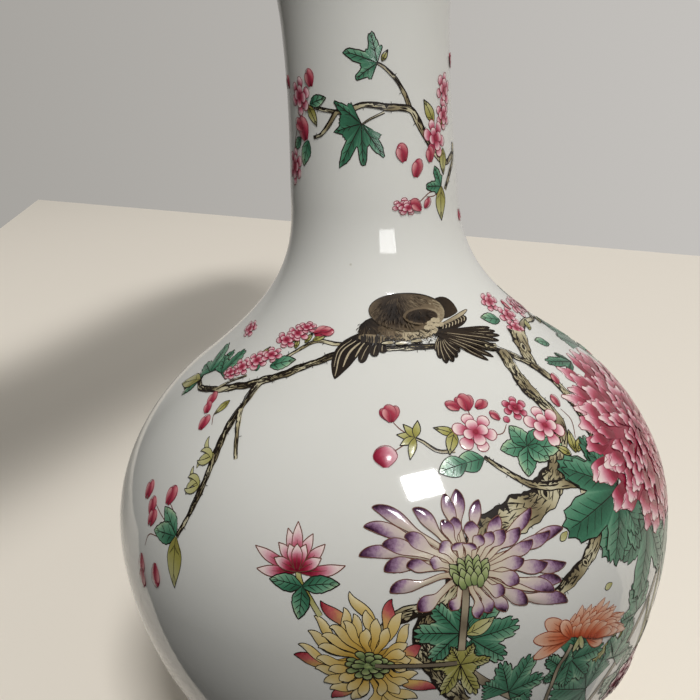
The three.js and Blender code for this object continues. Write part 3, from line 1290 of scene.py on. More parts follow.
@dataclass(frozen=True)
class Sprig:
    """Small pieces that repeat along the boughs, in their usual shapes."""

    blossom: Blossom = Blossom(7.0)
    leaf: Blade = Blade(11, 6.4, 10, widest=0.42, root=0.1, tip=0.9, pigment=Pigment.GREEN,
        outline=Pigment.LINE, tones=(0.15, 0.9), side=0.22, rim=0.15, veins=3, teeth=6)
    young: Blade = Blade(9, 4.0, 8, widest=0.4, root=0.1, tip=1.1, pigment=Pigment.LIME,
        outline=Pigment.LINE, tones=(0.2, 0.9), side=0.1, veins=2)
    stalk: float = 0.4

    def blossoms(self, brush: Brush, places: Sequence[Spot], deep: float) -> None:
        """Paints blossoms.

        Args:
            brush: what they are painted with.
            places: the azimuth, height, radius and squash of each.
            deep: how much deeper in colour they are than usual.
        """
        for azimuth, height, radius, squash in places:
            blossom = replace(self.blossom, radius=radius, deep=deep)
            blossom.paint(brush.at(azimuth, height, brush.wobble(15), squash), brush.wobble(30))

    @staticmethod
    def buds(brush: Brush, places: Sequence[Spot]) -> None:
        """Paints buds."""
        for azimuth, height, turn, radius in places:
            Bud(radius).paint(brush.at(azimuth, height), -radius, turn)

    def leaves(self, brush: Brush, kind: Blade, places: Sequence[Spot]) -> None:
        """Paints leaves, which bend to the side that they turn to.

        Args:
            brush: what they are painted with.
            kind: the leaf.
            places: the azimuth and height of each root, its turn and its length.
        """
        for azimuth, height, turn, length in places:
            size = length / kind.length
            leaf = replace(kind, length=length, width=kind.width * size,
                bend=kind.bend * (1 if turn > 0 else -1))
            leaf.paint(brush.at(azimuth, height), 0, 0, turn)

    def stalks(self, brush: Brush, lines: Sequence[Sequence[Point]]) -> None:
        """Draws thin stalks through azimuths and heights."""
        for spots in lines:
            brush.hair(*brush.route(spots), self.stalk, Pigment.UMBER, 0.6)


@dataclass
class Motif:
    """A group of motifs that is painted as one piece."""

    ground: Ground
    name: str = ""

    def build(self) -> bpy.types.Object:
        """Paints the group and makes it a piece."""
        brush = Brush(self.ground, self.name)
        self.paint(brush)
        return brush.finish()

    def paint(self, brush: Brush) -> None:
        """Paints the group with a brush."""
        raise NotImplementedError


Boughs = tuple[Bough, ...]
Lines = tuple[tuple[Point, ...], ...]
Spots = tuple[Spot, ...]


@dataclass
class Spray(Motif):
    """Boughs with their stalks, leaves, blossoms and buds, painted in this order.

    Lobed leaves have an azimuth, a height and a spin. Leaves have an azimuth, a height, a turn and a length,
    blossoms a radius and a squash instead, and buds a turn and a radius. Each bunch of blossoms is so much
    deeper in colour than usual.
    """

    boughs: Boughs = ()
    stalks: Lines = ()
    curls: tuple[Point, ...] = ()
    lobed: tuple[tuple[Place, Leaf], ...] = ()
    leaves: Spots = ()
    young: Spots = ()
    blossoms: tuple[tuple[float, Spots], ...] = ()
    buds: Spots = ()
    sprig: Sprig = Sprig()

    def paint(self, brush: Brush) -> None:
        """Paints the spray."""
        for bough in self.boughs:
            bough.paint(brush)
        self.sprig.stalks(brush, self.stalks)
        for place in self.curls:
            self.curl(brush, place)
        for place, leaf in self.lobed:
            leaf.paint(brush.at(*place))
        self.sprig.leaves(brush, self.sprig.leaf, self.leaves)
        self.sprig.leaves(brush, self.sprig.young, self.young)
        for deep, places in self.blossoms:
            self.sprig.blossoms(brush, places, deep)
        self.sprig.buds(brush, self.buds)

    @staticmethod
    def curl(brush: Brush, place: Point) -> None:
        """Paints a tuft of curled young bracts to the left of a place."""
        bract = Blade(10.5, 2.2, widest=0.5, root=0.3, tip=0.8, pigment=Pigment.LIME, line=0.28,
            outline=Pigment.LINE, tones=(0.5, 1.0))
        for turn, bend, length in ((80, -110, 10.5), (112, 110, 9.5), (142, -90, 8.5), (58, 100, 8.5)):
            replace(bract, length=length, bend=bend).paint(brush.at(*place), 0, brush.wobble(1.5), turn)


@dataclass
class NeckSpray(Spray):
    """The flowering twig round the neck, with its maple-like leaves."""

    name: str = "neck_spray"
    boughs: Boughs = (
        Bough(((7, 300), (-2, 298), (-8, 296)), (0.7, 0.5), 0.0, bark=0.0, shadow=-1),
        Bough(((25, 300), (21, 306), (15, 311.5), (8, 315.5), (4, 317)), (1.7, 1.3, 0.8), 0.8),
        Bough(((66, 282), (54, 279.5), (43, 284), (33, 292.5), (25, 300), (10, 301.5), (-5, 303),
            (-18, 301), (-30, 301.5), (-41, 303)), (2.0, 2.5, 2.3, 1.8, 1.1), 0.85),
        Bough(((-24, 301), (-31, 296), (-37, 293), (-43, 292)), (1.8, 1.1), 0.6),
        Bough(((70, 286), (66, 280), (60, 276), (51, 269.5)), (2.2, 1.4), 0.9))
    stalks: Lines = (
        ((44, 269), (36, 269.5), (27, 266.5), (20, 266)),
        ((47, 270), (40, 268), (33, 268)),
        ((-56, 300), (-64, 292), (-68, 284)),
        ((50, 292), (56, 300), (60, 308)))
    lobed: tuple[tuple[Place, Leaf], ...] = (
        ((4, 317, 0), Leaf(13.5, ((-122, 0.74, 34), (-68, 1.0, 32), (-10, 0.84, 32)), 0.46, 1.3, 0.1, 11)),
        ((-8, 296.5, 0), Leaf(18.5, ((-212, 0.82, 26), (-180, 0.88, 22), (-150, 1.0, 24), (-104, 0.6, 30),
            (-50, 0.72, 26)), 0.46, 1.25, 0.08, 9, tones=(0.0, 0.85))),
        ((47, 271, 0), Leaf(8.6, ((-84, 1.0, 44), (-22, 1.0, 40)), 0.5, 1.4, 0.08, 14)))
    leaves: Spots = ((-45, 304, -72, 8), (-48, 291, 158, 10), (-56, 292, 130, 7))
    young: Spots = ((44, 294.5, 26, 10), (51, 292, -8, 8), (52, 285, 172, 10), (47, 271, 172, 13),
        (-47, 304, -150, 9), (7, 317.5, -30, 4.4))
    blossoms: tuple[tuple[float, Spots], ...] = (
        (-0.05, ((58, 306, 5.4, 1.15), (55, 297, 4.8, 1.1), (44, 289, 5.4, 1.3), (-55, 307, 5.6, 1.2),
            (-66, 281, 5.6, 1.25))),
        (-0.1, ((15.5, 266, 4.0, 0.7), (19, 265, 4.0, 0.7))))
    buds: Spots = ((18.9, 284.8, 12, 2.9), (26, 278.6, -16, 2.9), (38.5, 283, 0, 2.5),
        (28.6, 266.4, 50, 2.5), (31.5, 265.6, -30, 1.8), (-42.5, 313, 10, 2.7), (-49.5, 295, 20, 3.8),
        (-52, 298, 60, 2.6), (-72, 312, 15, 2.2), (72, 262, 170, 2.0), (76, 316, 0, 2.4))


@dataclass
class FarBlossoms(Spray):
    """The sprays behind the trunk's top, which lead round to the back."""

    name: str = "far_blossoms"
    boughs: Boughs = (
        Bough(((56, 211), (63, 214), (72, 214), (82, 212), (94, 214), (106, 210), (118, 204)),
            (3.0, 2.0, 1.2), 0.4),
        Bough(((84, 212), (92, 205), (98, 197)), (1.6, 0.9), 0.5))
    leaves: Spots = ((54, 219, 62, 10), (68, 206, 50, 9), (96, 218, 30, 11), (112, 205, -60, 12),
        (120, 203, -110, 12), (100, 200, 190, 10))
    young: Spots = ((66, 212, -60, 8), (90, 210, 100, 8), (118, 204, 180, 12))
    blossoms: tuple[tuple[float, Spots], ...] = ((0.0, ((57.5, 225, 6.0, 0.7), (62, 218.5, 6.4, 0.75),
        (58.5, 214.8, 5.4, 0.8), (78, 218, 6.8, 0.8), (88, 216, 6.4, 0.8), (102, 214, 6.8, 0.85))),)
    buds: Spots = ((70, 221, 20, 2.4), (108, 216, -20, 2.6), (124, 199, 150, 2.8), (96, 193, 180, 2.6))


@dataclass
class ShoulderBough(Spray):
    """The long bough over the shoulder, from the old trunk round to the left."""

    name: str = "shoulder_bough"
    boughs: Boughs = (
        Bough(((-12, 219.5), (-20, 219.5), (-28, 220), (-35, 216.5), (-40, 213)), (1.6, 1.2), 0.4),
        Bough(((41, 212.5), (31, 216), (19, 217), (2, 218), (-16, 217), (-28, 213), (-36, 209.5),
            (-44, 206), (-52, 203), (-59, 200.5), (-66, 199), (-72, 201), (-71, 206)),
            (3.6, 2.2, 2.0, 2.6, 3.4, 2.6, 1.7), 0.8, 0.24, 2.4),
        Bough(((-43, 206), (-43.2, 200), (-43.2, 194), (-42.4, 186), (-42, 178), (-43, 168), (-44.8, 160)),
            (3.0, 2.4, 3.0, 2.4, 2.0, 1.3), 0.95, 0.24, 2.6),
        Bough(((-43, 199), (-40, 194), (-36.5, 187)), (1.9, 1.3), 0.5),
        Bough(((-58, 201), (-55, 204), (-50, 207)), (1.2, 0.8), 0.5))
    stalks: Lines = (
        ((-45, 161), (-50, 163), (-54, 165.5)),
        ((-50, 156.5), (-53.6, 155), (-54.6, 150)),
        ((-45, 161), (-47, 166), (-50, 169)),
        ((-49, 199), (-51, 196), (-49, 193)),
        ((-56, 200), (-56, 197), (-54, 195)))
    curls: tuple[Point, ...] = ((-42.9, 186), (-43.0, 178))
    lobed: tuple[tuple[Place, Leaf], ...] = (
        ((-69, 203, 20), Leaf(17, ((-70, 0.75, 44), (-20, 1.0, 40), (28, 0.8, 40)), 0.5)),
        ((-63, 204.5, -10), Leaf(14, ((-60, 0.8, 44), (0, 1.0, 44), (50, 0.7, 40)), 0.5)))
    leaves: Spots = ((-71, 201, 150, 11), (-43, 211, -62, 11), (-47, 209, 50, 9), (-45, 160.6, 56, 13),
        (-45, 160, 98, 14.5), (-71, 200, 170, 10))
    young: Spots = ((-70, 200, 118, 17), (-44.8, 160, 186, 18.5), (-49, 200, 160, 8), (-50, 211, -10, 8),
        (-30, 220, -60, 6), (-36, 217, 10, 5), (-33, 219, -20, 5), (-37, 219, 60, 5))
    blossoms: tuple[tuple[float, Spots], ...] = ((-0.05, ((-55, 208.5, 5.4, 0.75), (-50, 211.5, 5.6, 0.75),
        (-45, 214, 5.0, 0.7), (-58, 206, 4.6, 0.7), (-42, 219, 5.4, 0.65), (-38, 221.5, 5.0, 0.65),
        (-34.5, 223.5, 4.2, 0.6), (-70, 218, 5.6, 0.7))),)
    buds: Spots = ((-55, 198.5, 25, 2.7), (-53.5, 196.5, 40, 2.3), (-51.5, 192.5, 10, 2.8),
        (-30, 223.5, -60, 2.6), (-27.5, 224, -80, 2.2), (-58, 167.5, 5, 3.2), (-50, 170.5, -8, 3.3),
        (-54.6, 164, 10, 3.0), (-54.0, 160.5, -14, 3.0), (-55.6, 149.5, 190, 3.4), (-54.8, 144.5, 182, 3.4),
        (-50.3, 150.5, 196, 3.8))


@dataclass(frozen=True)
class Patch:
    """An oval on the bird's body: its middle, half its width and height, and its tilt."""

    centre: Point
    half: Point
    tilt: float = 0.0

    def rim(self, first: float, last: float, count: int) -> list[Point]:
        """Points on its edge.

        Args:
            first: the angle of the first, clockwise from its top.
            last: the angle of the last.
            count: how many there are.

        Returns:
            The points.
        """
        lean, (x, y), (wide, high) = math.radians(self.tilt), self.centre, self.half
        return [(x + wide * math.sin(a) * math.cos(lean) - high * math.cos(a) * math.sin(lean),
            y + wide * math.sin(a) * math.sin(lean) + high * math.cos(a) * math.cos(lean))
            for a in np.linspace(first, last, count)]


@dataclass
class PerchedBird(Motif):
    """A small brown-black bird asleep on the bough, its head tucked in and its wings and tail spread."""

    name: str = "perched_bird"
    place: Point = (12, 226)
    vane: Blade = Blade(20, 3, widest=0.72, root=0.4, tip=0.5, pigment=Pigment.PLUME, outline=Pigment.LINE,
        line=0.26, plump=0.08, tones=(0.0, 0.1))
    wing_root: Place = (-19.2, -6.2, 129)
    shoulder: Patch = Patch((-16.9, -2.6), (5.6, 3.3), 44)
    wing_edge: Patch = Patch((-16.4, -6.9), (5.6, 1.8), -8)
    breast: Patch = Patch((-2.5, -5.6), (10.5, 3.0), -3)
    flank: Patch = Patch((-9.6, -4.6), (4.8, 2.9), -30)
    back: Patch = Patch((-1.2, 2.8), (14.6, 7.9), -7)
    hollow: Patch = Patch((3.6, 0.5), (6.3, 3.1), -4)
    hollow_rim: Patch = Patch((3.6, 0.5), (7.4, 3.8), -4)
    bare_rise: float = 1.0
    bare_half: Point = (8.0, 4.4)
    tail_root: Point = (9.0, -8.2)
    wing_tip_root: Point = (5.4, -6.2)
    tufts: tuple[Point, ...] = ((5.6, -3.2), (7.4, -2.2), (8.8, -2.6), (8.2, -4.2), (6.2, -4.8),
        (4.2, -4.8), (9.4, -4.4))
    toes: tuple[Point, ...] = ((-11.6, -9.2), (-6.8, -9.8), (-1.2, -9.4))

    def feather(self, brush: Brush, root: Point, turn: float, length: float, width: float, bend: float,
                tones: Point, shafts: Sequence[float] = (0.1,)) -> None:
        """Paints one long feather with the pale lines of its vanes.

        Args:
            brush: what it is painted with.
            root: its root's place.
            turn: its heading.
            length: its length.
            width: its width.
            bend: how far it bends.
            tones: its shade at the root and the tip.
            shafts: where the pale lines run, in shares of its half width.
        """
        blade = replace(self.vane, length=length, width=width, bend=bend, tones=tones)
        blade.paint(brush, *root, turn)
        for share in shafts:
            blade.line_on(brush, [(0.2, share), (0.5, share * 1.1), (0.9, share * 0.8)], *root, turn, 0.3,
                Pigment.PLUME, 0.85)

    def down(self, brush: Brush, centre: Point, half: Point, count: int, tone: Tone, reach: float = 1.8,
             bare: bool = False) -> None:
        """Brushes short soft strokes of down that stream out from the middle of an oval.

        Args:
            brush: where they are painted.
            centre: the oval's middle.
            half: half its width and half its height.
            count: how many strokes.
            tone: their shade from x and y, each from -1 to 1.
            reach: their usual length.
            bare: whether the hollow gets none.
        """
        hollow_x, hollow_y = self.hollow.centre
        for _ in range(count):
            a, r = brush.chance.random() * 2 * math.pi, math.sqrt(brush.chance.random()) * 0.94
            x, y = centre[0] + math.cos(a) * r * half[0], centre[1] + math.sin(a) * r * half[1]
            lean, drop = 0.75 * math.cos(a) * r + 0.12, 0.35 * math.sin(a) - 0.55
            size = reach * (0.6 + 0.6 * brush.chance.random()) / math.hypot(lean, drop)
            shade = float(tone(r * np.cos(a), r * np.sin(a))) + brush.wobble(0.22)
            off = ((x - hollow_x) / self.bare_half[0], (y - self.bare_rise - hollow_y) / self.bare_half[1])
            if bare and math.hypot(*off) < 1:
                continue
            brush.stroke([(x, y), (x + lean * size * 0.55, y + drop * size * 0.45),
                (x + lean * size, y + drop * size)], 0.26, Pigment.PLUME, 0.2, min(max(shade, 0.0), 1.0))

    @staticmethod
    def wash(brush: Brush, patch: Patch, tone: float | Tone, dome: float) -> None:
        """Lays an oval of plumage."""
        brush.oval(patch.centre, patch.half, tone, Pigment.PLUME, dome, patch.tilt)

    def paint(self, brush: Brush) -> None:
        """Paints the bird, its far parts first."""
        brush.at(*self.place)
        self.paint_far_wing(brush)
        self.paint_near_wing(brush)
        self.paint_tail(brush)
        self.paint_breast(brush)
        self.paint_back(brush)
        self.paint_tufts(brush)

    def paint_far_wing(self, brush: Brush) -> None:
        """Paints the wing let down on the left, with its ragged edge."""
        wing = replace(self.vane, length=23.4, width=7.4, bend=40, widest=0.45, root=0.65, tip=0.75,
            tones=(0.02, 0.12))
        wing.paint(brush, *self.wing_root)
        for turn, length, x, y in ((142, 10.5, -17.2, -8.0), (150, 6.5, -15.0, -8.4),
                                   (158, 4.5, -13.0, -8.6)):
            self.feather(brush, (x, y), turn, length, 3.0, 14, (0.0, 0.15))
        for spots, width in ((((0.14, 0.3), (0.5, 0.4), (0.95, 0.1)), 0.5),
                             (((0.2, 0.66), (0.5, 0.72), (0.8, 0.6)), 0.3),
                             (((0.1, -0.2), (0.4, -0.2), (0.72, -0.5)), 0.8),
                             (((0.06, -0.6), (0.2, -0.7), (0.42, -0.9)), 0.6)):
            wing.line_on(brush, spots, *self.wing_root, width, Pigment.PLUME, 0.92)
        self.wash(brush, self.shoulder, lambda x, y: 0.2 - 0.2 * y, 0.1)
        self.down(brush, self.shoulder.centre, (4.4, 3.6), 70, lambda x, y: 0.3 - 0.3 * y)
        self.wash(brush, self.wing_edge, 0.75, 0.06)
        for i in range(13):
            x, y = -21.6 + i * 0.86 + brush.wobble(0.3), -5.0 - 0.1 * i + brush.wobble(0.5)
            brush.stroke([(x, y), (x - 0.2, y - 1.7), (x - 0.8, y - 3.6)], 0.8 + brush.wobble(0.35),
                Pigment.LINE, 0.3)

    def paint_near_wing(self, brush: Brush) -> None:
        """Paints the folded wing on the right: its shoulder, its barred coverts and a pale edge."""
        replace(self.vane, length=12.4, width=8.8, bend=-24, widest=0.45, tip=0.8,
            tones=(0.05, 0.4)).paint(brush, 7.4, 3.9, -103)
        replace(self.vane, length=14, width=4.6, widest=0.6, root=0.6, tones=(0.05, 0.2)).paint(brush, 8.6,
            -5.4, -82)
        for i in range(8):
            x, y = 10.4 + i * 1.5, -5.0 + i * 0.22
            brush.stroke([(x - 0.3, y + 1.0), (x + 0.5, y + 0.1), (x - 0.2, y - 1.1)], 0.42, Pigment.PLUME,
                0.4, 0.95)
        self.feather(brush, (7.9, -4.4), -78, 16.6, 1.7, 6, (0.75, 0.95), ())

    def paint_tail(self, brush: Brush) -> None:
        """Paints the spread tail and the tips of the wing below it."""
        for turn, length in ((150, 7.4), (161, 10.0), (173, 12.0), (-174, 12.0), (-162, 11.0), (-149, 10.0),
                             (-136, 9.0)):
            self.feather(brush, self.tail_root, turn, length, 2.9, 4, (0.25, 0.12), (0.7,))
        for turn, length in ((-129, 26), (-124, 28), (-118.5, 28.5), (-114, 28), (-98, 27.5), (-101.5, 30),
                             (-105, 32), (-109, 31)):
            self.feather(brush, self.wing_tip_root, turn, length, 2.1, -4, (0.35, 0.15))

    def paint_breast(self, brush: Brush) -> None:
        """Paints the pale breast and flank, with ragged dark strokes over them."""
        self.wash(brush, self.breast, lambda x, y: 0.92 + 0.05 * x, 0.08)
        self.down(brush, (-2.5, -5.8), (10.0, 2.7), 80, lambda x, y: 0.85)
        self.wash(brush, self.flank, lambda x, y: 0.62 + 0.2 * x, 0.08)
        self.down(brush, self.flank.centre, (4.4, 2.6), 40, lambda x, y: 0.6 + 0.2 * x)
        for i in range(22):
            x, y = -11.8 + i * 0.95 + brush.wobble(0.5), -6.6 - 1.2 * (i % 4) + brush.wobble(0.4)
            brush.stroke([(x, y + 0.4), (x + 0.8, y - 0.6), (x + 1.7, y + 0.2), (x + 2.5, y - 0.3)], 0.36,
                Pigment.LINE, 0.4)

    def paint_back(self, brush: Brush) -> None:
        """Paints the round back and the dark hollow where the head is tucked in."""
        self.wash(brush, self.back, self.back_tone, 0.08)
        self.down(brush, (-1.4, 3.5), (13.4, 6.7), 560, self.back_tone, 2.2, True)
        brush.stroke(self.back.rim(-2.3, 2.0, 30), 0.36, Pigment.LINE, 0.3, smooth=False)
        self.wash(brush, self.hollow_rim, lambda x, y: 0.68 + 0.14 * x, 0.05)
        self.wash(brush, self.hollow, self.hollow_tone, 0.05)
        self.down(brush, self.hollow.centre, (5.6, 2.6), 60, self.hollow_tone, 1.6)

    def paint_tufts(self, brush: Brush) -> None:
        """Paints the pale tufts under the hollow and the toes on the bough."""
        for x, y in self.tufts:
            self.wash(brush, Patch((x, y), (1.5, 1.2)), 0.92, 0.2)
            brush.stroke([(x - 1.1, y - 0.5), (x, y - 1.1), (x + 1.1, y - 0.4)], 0.26, Pigment.LINE, 0.4)
        for x, y in self.toes:
            brush.oval((x, y), (2.2, 0.8), lambda p, q: 0.6 - 0.3 * p, Pigment.BARK, 0.1)
            for shift in (0.9, -0.8):
                brush.stroke([(x - 2.4, y + shift * 0.4), (x, y + shift), (x + 2.6, y + shift * 0.6)], 0.45,
                    Pigment.LINE, 0.4)

    @staticmethod
    def back_tone(x: Real, y: Real) -> Real:
        """Shade of the back: dark left of the middle, paler all round and palest at the right."""
        dark = np.exp(-((x + 0.4) / 0.36) ** 2 - ((y - 0.05) / 0.8) ** 2)
        return 0.58 - 0.52 * dark + 0.4 * np.clip(x - 0.4, 0, 1) - 0.2 * np.clip(y - 0.55, 0, 1)

    @staticmethod
    def hollow_tone(x: Real, y: Real) -> Real:
        """Shade of the hollow: darkest below its middle, paler towards its rim."""
        dark = np.exp(-((x + 0.35) / 0.6) ** 2 - ((y + 0.1) / 0.9) ** 2)
        return 0.32 - 0.28 * dark + 0.3 * np.clip(x * x + y * y - 0.7, 0, 1)


@dataclass
class OldTrunk(Spray):
    """The gnarled trunk and its second stem on the right of the front."""

    name: str = "old_trunk"
    boughs: Boughs = (
        Bough(((57, 214), (52, 209.5), (48.5, 204)), (8.0, 7.0, 3.0), 0.4, 0.2, knots=(0.45,)),
        Bough(((36, 214), (43, 210.5), (48.5, 205), (50.5, 199), (49.5, 192), (48, 185), (46.8, 178),
            (46, 170), (42, 165), (37, 158.5), (33, 152.5), (28, 147.5), (24, 144)),
            (2.0, 3.0, 3.8, 4.6, 5.2, 5.2, 5.2, 4.4), 0.85, 0.2, 1.1, (0.86,)),
        Bough(((41.5, 211.5), (40.3, 206), (39.5, 200), (40.5, 193.5), (39.5, 189), (36, 184.5), (33, 180),
            (29.5, 176.5), (25, 172.8), (20.5, 171.5), (15, 169), (11.5, 163), (8.5, 156), (5.5, 149.5),
            (2.5, 144), (2, 136), (4, 126), (8, 112)),
            (4.4, 5.6, 5.4, 7.6, 10.5, 11.5, 10.5, 8.5, 7.5, 7.0, 6.0), 0.55, 0.17, 1.3, (0.40,)),
        Bough(((3, 150), (-2, 147), (-5, 142)), (5.0, 3.6), 0.8, 0.2, shadow=-1),
        Bough(((36.6, 170.5), (36.8, 173.6), (33, 175.4), (29, 176.3), (25, 178.8), (21.5, 183.2),
            (18, 188)), (3.8, 3.6, 2.6, 1.8, 1.2), 0.6, 0.14, 0.8),
        Bough(((12.3, 190.7), (8.6, 191.3), (5.6, 194), (3.5, 195.2)), (1.3, 0.9), 0.5, 0.1, 0.3))


@dataclass
class CrabApple(Motif):
    """The flowering crab-apple spray across the front.

    Tuft leaves have a turn and a length, ruff leaves a turn, a length and a width. Young leaves and buds
    are given as in a spray, and a cluster's buds have an azimuth, a height, a drop to the root, a turn, a
    radius and whether they are fat.
    """

    name: str = "crab_apple_spray"
    sprig: Sprig = Sprig()
    stalks: Lines = (
        ((3.5, 195.5), (1.2, 197.2), (-0.4, 199)),
        ((3, 194.5), (0.6, 193), (-1.5, 191.8)),
        ((21.5, 193), (24.5, 192.5), (26.6, 194.3)),
        ((42, 185), (44.5, 189.5), (44, 193)),
        ((18, 196), (18.8, 198.5), (19, 200)))
    tuft_place: Point = (4.2, 195)
    tuft: tuple[Point, ...] = ((72, 6.4), (28, 6.6), (-18, 7.0), (112, 6.0), (158, 8.4))
    young: Spots = ((13.7, 194.6, 60, 8), (13.6, 195.4, 150, 9.5))
    ruff_place: Point = (28.6, 187.6)
    ruff: tuple[Place, ...] = ((78, 10.5, 7.4), (12, 9.5, 7.6), (-74, 11.5, 8), (-106, 15, 8),
        (150, 11, 7.4), (-140, 9, 7))
    open: Spots = ((18.3, 194.2, 7.6, 1.0), (36.0, 191.0, 7.8, 1.0))
    half_open: Spots = ((31.4, 197.4, 4.8, 1.0),)
    buds: Spots = ((44.2, 195, -10, 2.3), (50.6, 199.4, -30, 2.3), (25.8, 197.0, 30, 1.9))
    cluster: tuple[tuple[float, float, float, float, float, bool], ...] = ((19.0, 200.4, 1.5, 0, 3.0, True),
        (17.0, 201.2, 1.5, 52, 2.3, False), (21.3, 200.4, 1.5, -66, 2.3, False),
        (-0.6, 200.6, 2.6, 10, 3.0, True))
    low: Spots = ((39.5, 181.5, -18, 9), (40, 181.5, -52, 7), (38, 181.5, 40, 7))

    def paint(self, brush: Brush) -> None:
        """Paints the spray."""
        self.sprig.stalks(brush, self.stalks)
        for turn, length in self.tuft:
            replace(self.sprig.young, length=length, width=2.8, veins=0).paint(brush.at(*self.tuft_place),
                0, 0, turn)
        self.sprig.leaves(brush, self.sprig.young, self.young)
        self.paint_leaves(brush)
        self.sprig.blossoms(brush, self.open, -0.2)
        self.sprig.blossoms(brush, self.half_open, 0.2)
        self.sprig.buds(brush, self.buds)
        for azimuth, height, drop, turn, radius, fat in self.cluster:
            Bud(radius, fat).paint(brush.at(azimuth, height), -drop, turn)
        ball = Blade(7.8, 8.2, widest=0.5, root=0.2, tip=0.5, outline=Pigment.MADDER, line=0.26, plump=0.85,
            tones=(0.3, 0.55), side=0.4)
        ball.paint(brush.at(-2.7, 191.0), 0, -3.9)
        replace(ball, length=2.6, width=2.6, line=0.24, plump=0.4, tones=(0.2, 0.6),
            side=0.0).paint(brush.at(27.6, 195.2), 0, -1.0, 20)
        self.sprig.leaves(brush, self.sprig.young, self.low)

    def paint_leaves(self, brush: Brush) -> None:
        """Paints the broad leaves behind the blossoms."""
        whole = replace(self.sprig.leaf, teeth=0)
        replace(whole, length=10, width=7.8, tip=0.6).paint(brush.at(17.8, 187.6), 0, 0, 92)
        replace(whole, length=10.5, width=7.6, tip=0.8).paint(brush.at(14.0, 187.4), 0, 0, 98)
        for turn, length, width in self.ruff:
            replace(self.sprig.leaf, length=length, width=width, teeth=5,
                tip=0.8).paint(brush.at(*self.ruff_place), 0, 0, turn)


@dataclass
class GroundLeaves(Motif):
    """The leaves and stems that the flowers grow from, down to the vase's foot.

    Blades and lobed leaves have an azimuth, a height, a turn and a length.
    """

    name: str = "ground_leaves"
    palm: Leaf = Leaf(15, ((-92, 0.7, 40), (92, 0.7, 40), (-46, 0.88, 34), (46, 0.88, 34), (0, 1.0, 34)),
        0.62, 2.3, 0.13, 9, side_veins=4)
    fan: Leaf = Leaf(15, ((-64, 0.8, 40), (64, 0.8, 40), (0, 1.0, 42)), 0.55, 2.2, 0.13, 9, side_veins=4)
    pale: Leaf = Leaf(15, ((-150, 0.9, 34), (-82, 0.78, 34), (-22, 0.55, 34), (34, 0.6, 34), (88, 0.72, 34),
        (158, 1.0, 34)), 0.42, 1.5, 0.13, 9, pigment=Pigment.LIME, tones=(0.25, 1.1), side_veins=4)
    grass: Blade = Blade(40, 4.6, -14, widest=0.45, root=0.2, tip=1.2, pigment=Pigment.LIME,
        outline=Pigment.LINE, line=0.3, tones=(0.3, 0.9), side=0.12, veins=2)
    rose: Blade = Blade(15, 8.5, widest=0.7, root=0.4, blunt=0.6, crown=0.25, notch=0.08,
        outline=Pigment.MADDER, line=0.28, plump=0.3, rim=0.15, rays=2)
    rose_place: Point = (50, 80)
    rose_rings: tuple[tuple[float, int], ...] = ((1.0, 11), (0.7, 8), (0.4, 5))
    stems: tuple[tuple[float, tuple[Point, ...]], ...] = (
        (3.2, ((8.4, 127), (10.4, 121.5), (18, 107), (26, 92), (32, 74))),
        (2.4, ((24, 100), (20, 90), (18, 76))),
        (3.0, ((60, 136), (54, 122), (46, 108), (38, 92), (32, 76))),
        (2.6, ((-6, 104), (0, 92), (8, 78))),
        (4.4, ((8, 112), (8, 98), (12, 84), (14, 68))))
    blades: Spots = ((26, 97, -52, 40), (40, 111, -48, 18), (58, 128, 168, 34), (52, 118, 186, 44),
        (56, 108, 176, 40))

    def paint(self, brush: Brush) -> None:
        """Paints the stems first, then the leaves over them."""
        for width, spots in self.stems:
            brush.vine(spots, width, 0.9)
        for azimuth, height, turn, length in self.blades:
            replace(self.grass, length=length).paint(brush.at(azimuth, height), 0, 0, turn)
        palm, fan = self.palm, self.fan
        for kind, azimuth, height, turn, length in (
                (fan, -1, 112, 110, 15), (palm, 4, 106, -150, 15), (palm, 12, 98, 150, 15),
                (fan, 18, 92, -120, 14), (palm, 30, 88, 170, 15), (fan, 10, 84, 120, 14),
                (palm, 44, 92, -150, 17), (fan, -12, 100, 120, 13), (palm, 64, 112, -110, 19),
                (fan, 72, 128, -70, 20), (palm, 84, 118, -110, 19), (fan, 60, 96, 170, 18),
                (fan, 46, 118, 16, 16), (palm, 33.2, 97, 62, 22), (fan, 40, 104, -40, 17),
                (palm, 27.8, 116.8, -98, 17), (fan, 26, 114.4, 42, 10.5), (palm, 15.7, 112.6, -34, 16),
                (fan, 20, 104, 130, 13), (palm, 9.4, 137.2, -84, 17.5), (palm, 7.6, 140, 84, 15.5)):
            replace(kind, length=length).paint(brush.at(azimuth, height), 0, 0, turn)
        self.pale.paint(brush.at(7.5, 128.4))
        replace(self.grass, length=11, width=5, bend=20, root=0.1, tip=1.1, tones=(0.5, 1.0),
            side=0.15).paint(brush.at(8.6, 139.2), 0, 0, -72)
        for share, count in self.rose_rings:
            for i in range(count):
                replace(self.rose, length=15 * share, width=8.5 * (0.5 + share / 2),
                    bend=brush.wobble(20)).paint(brush.at(*self.rose_place), 0, 0,
                    360 * i / count + brush.wobble(14))


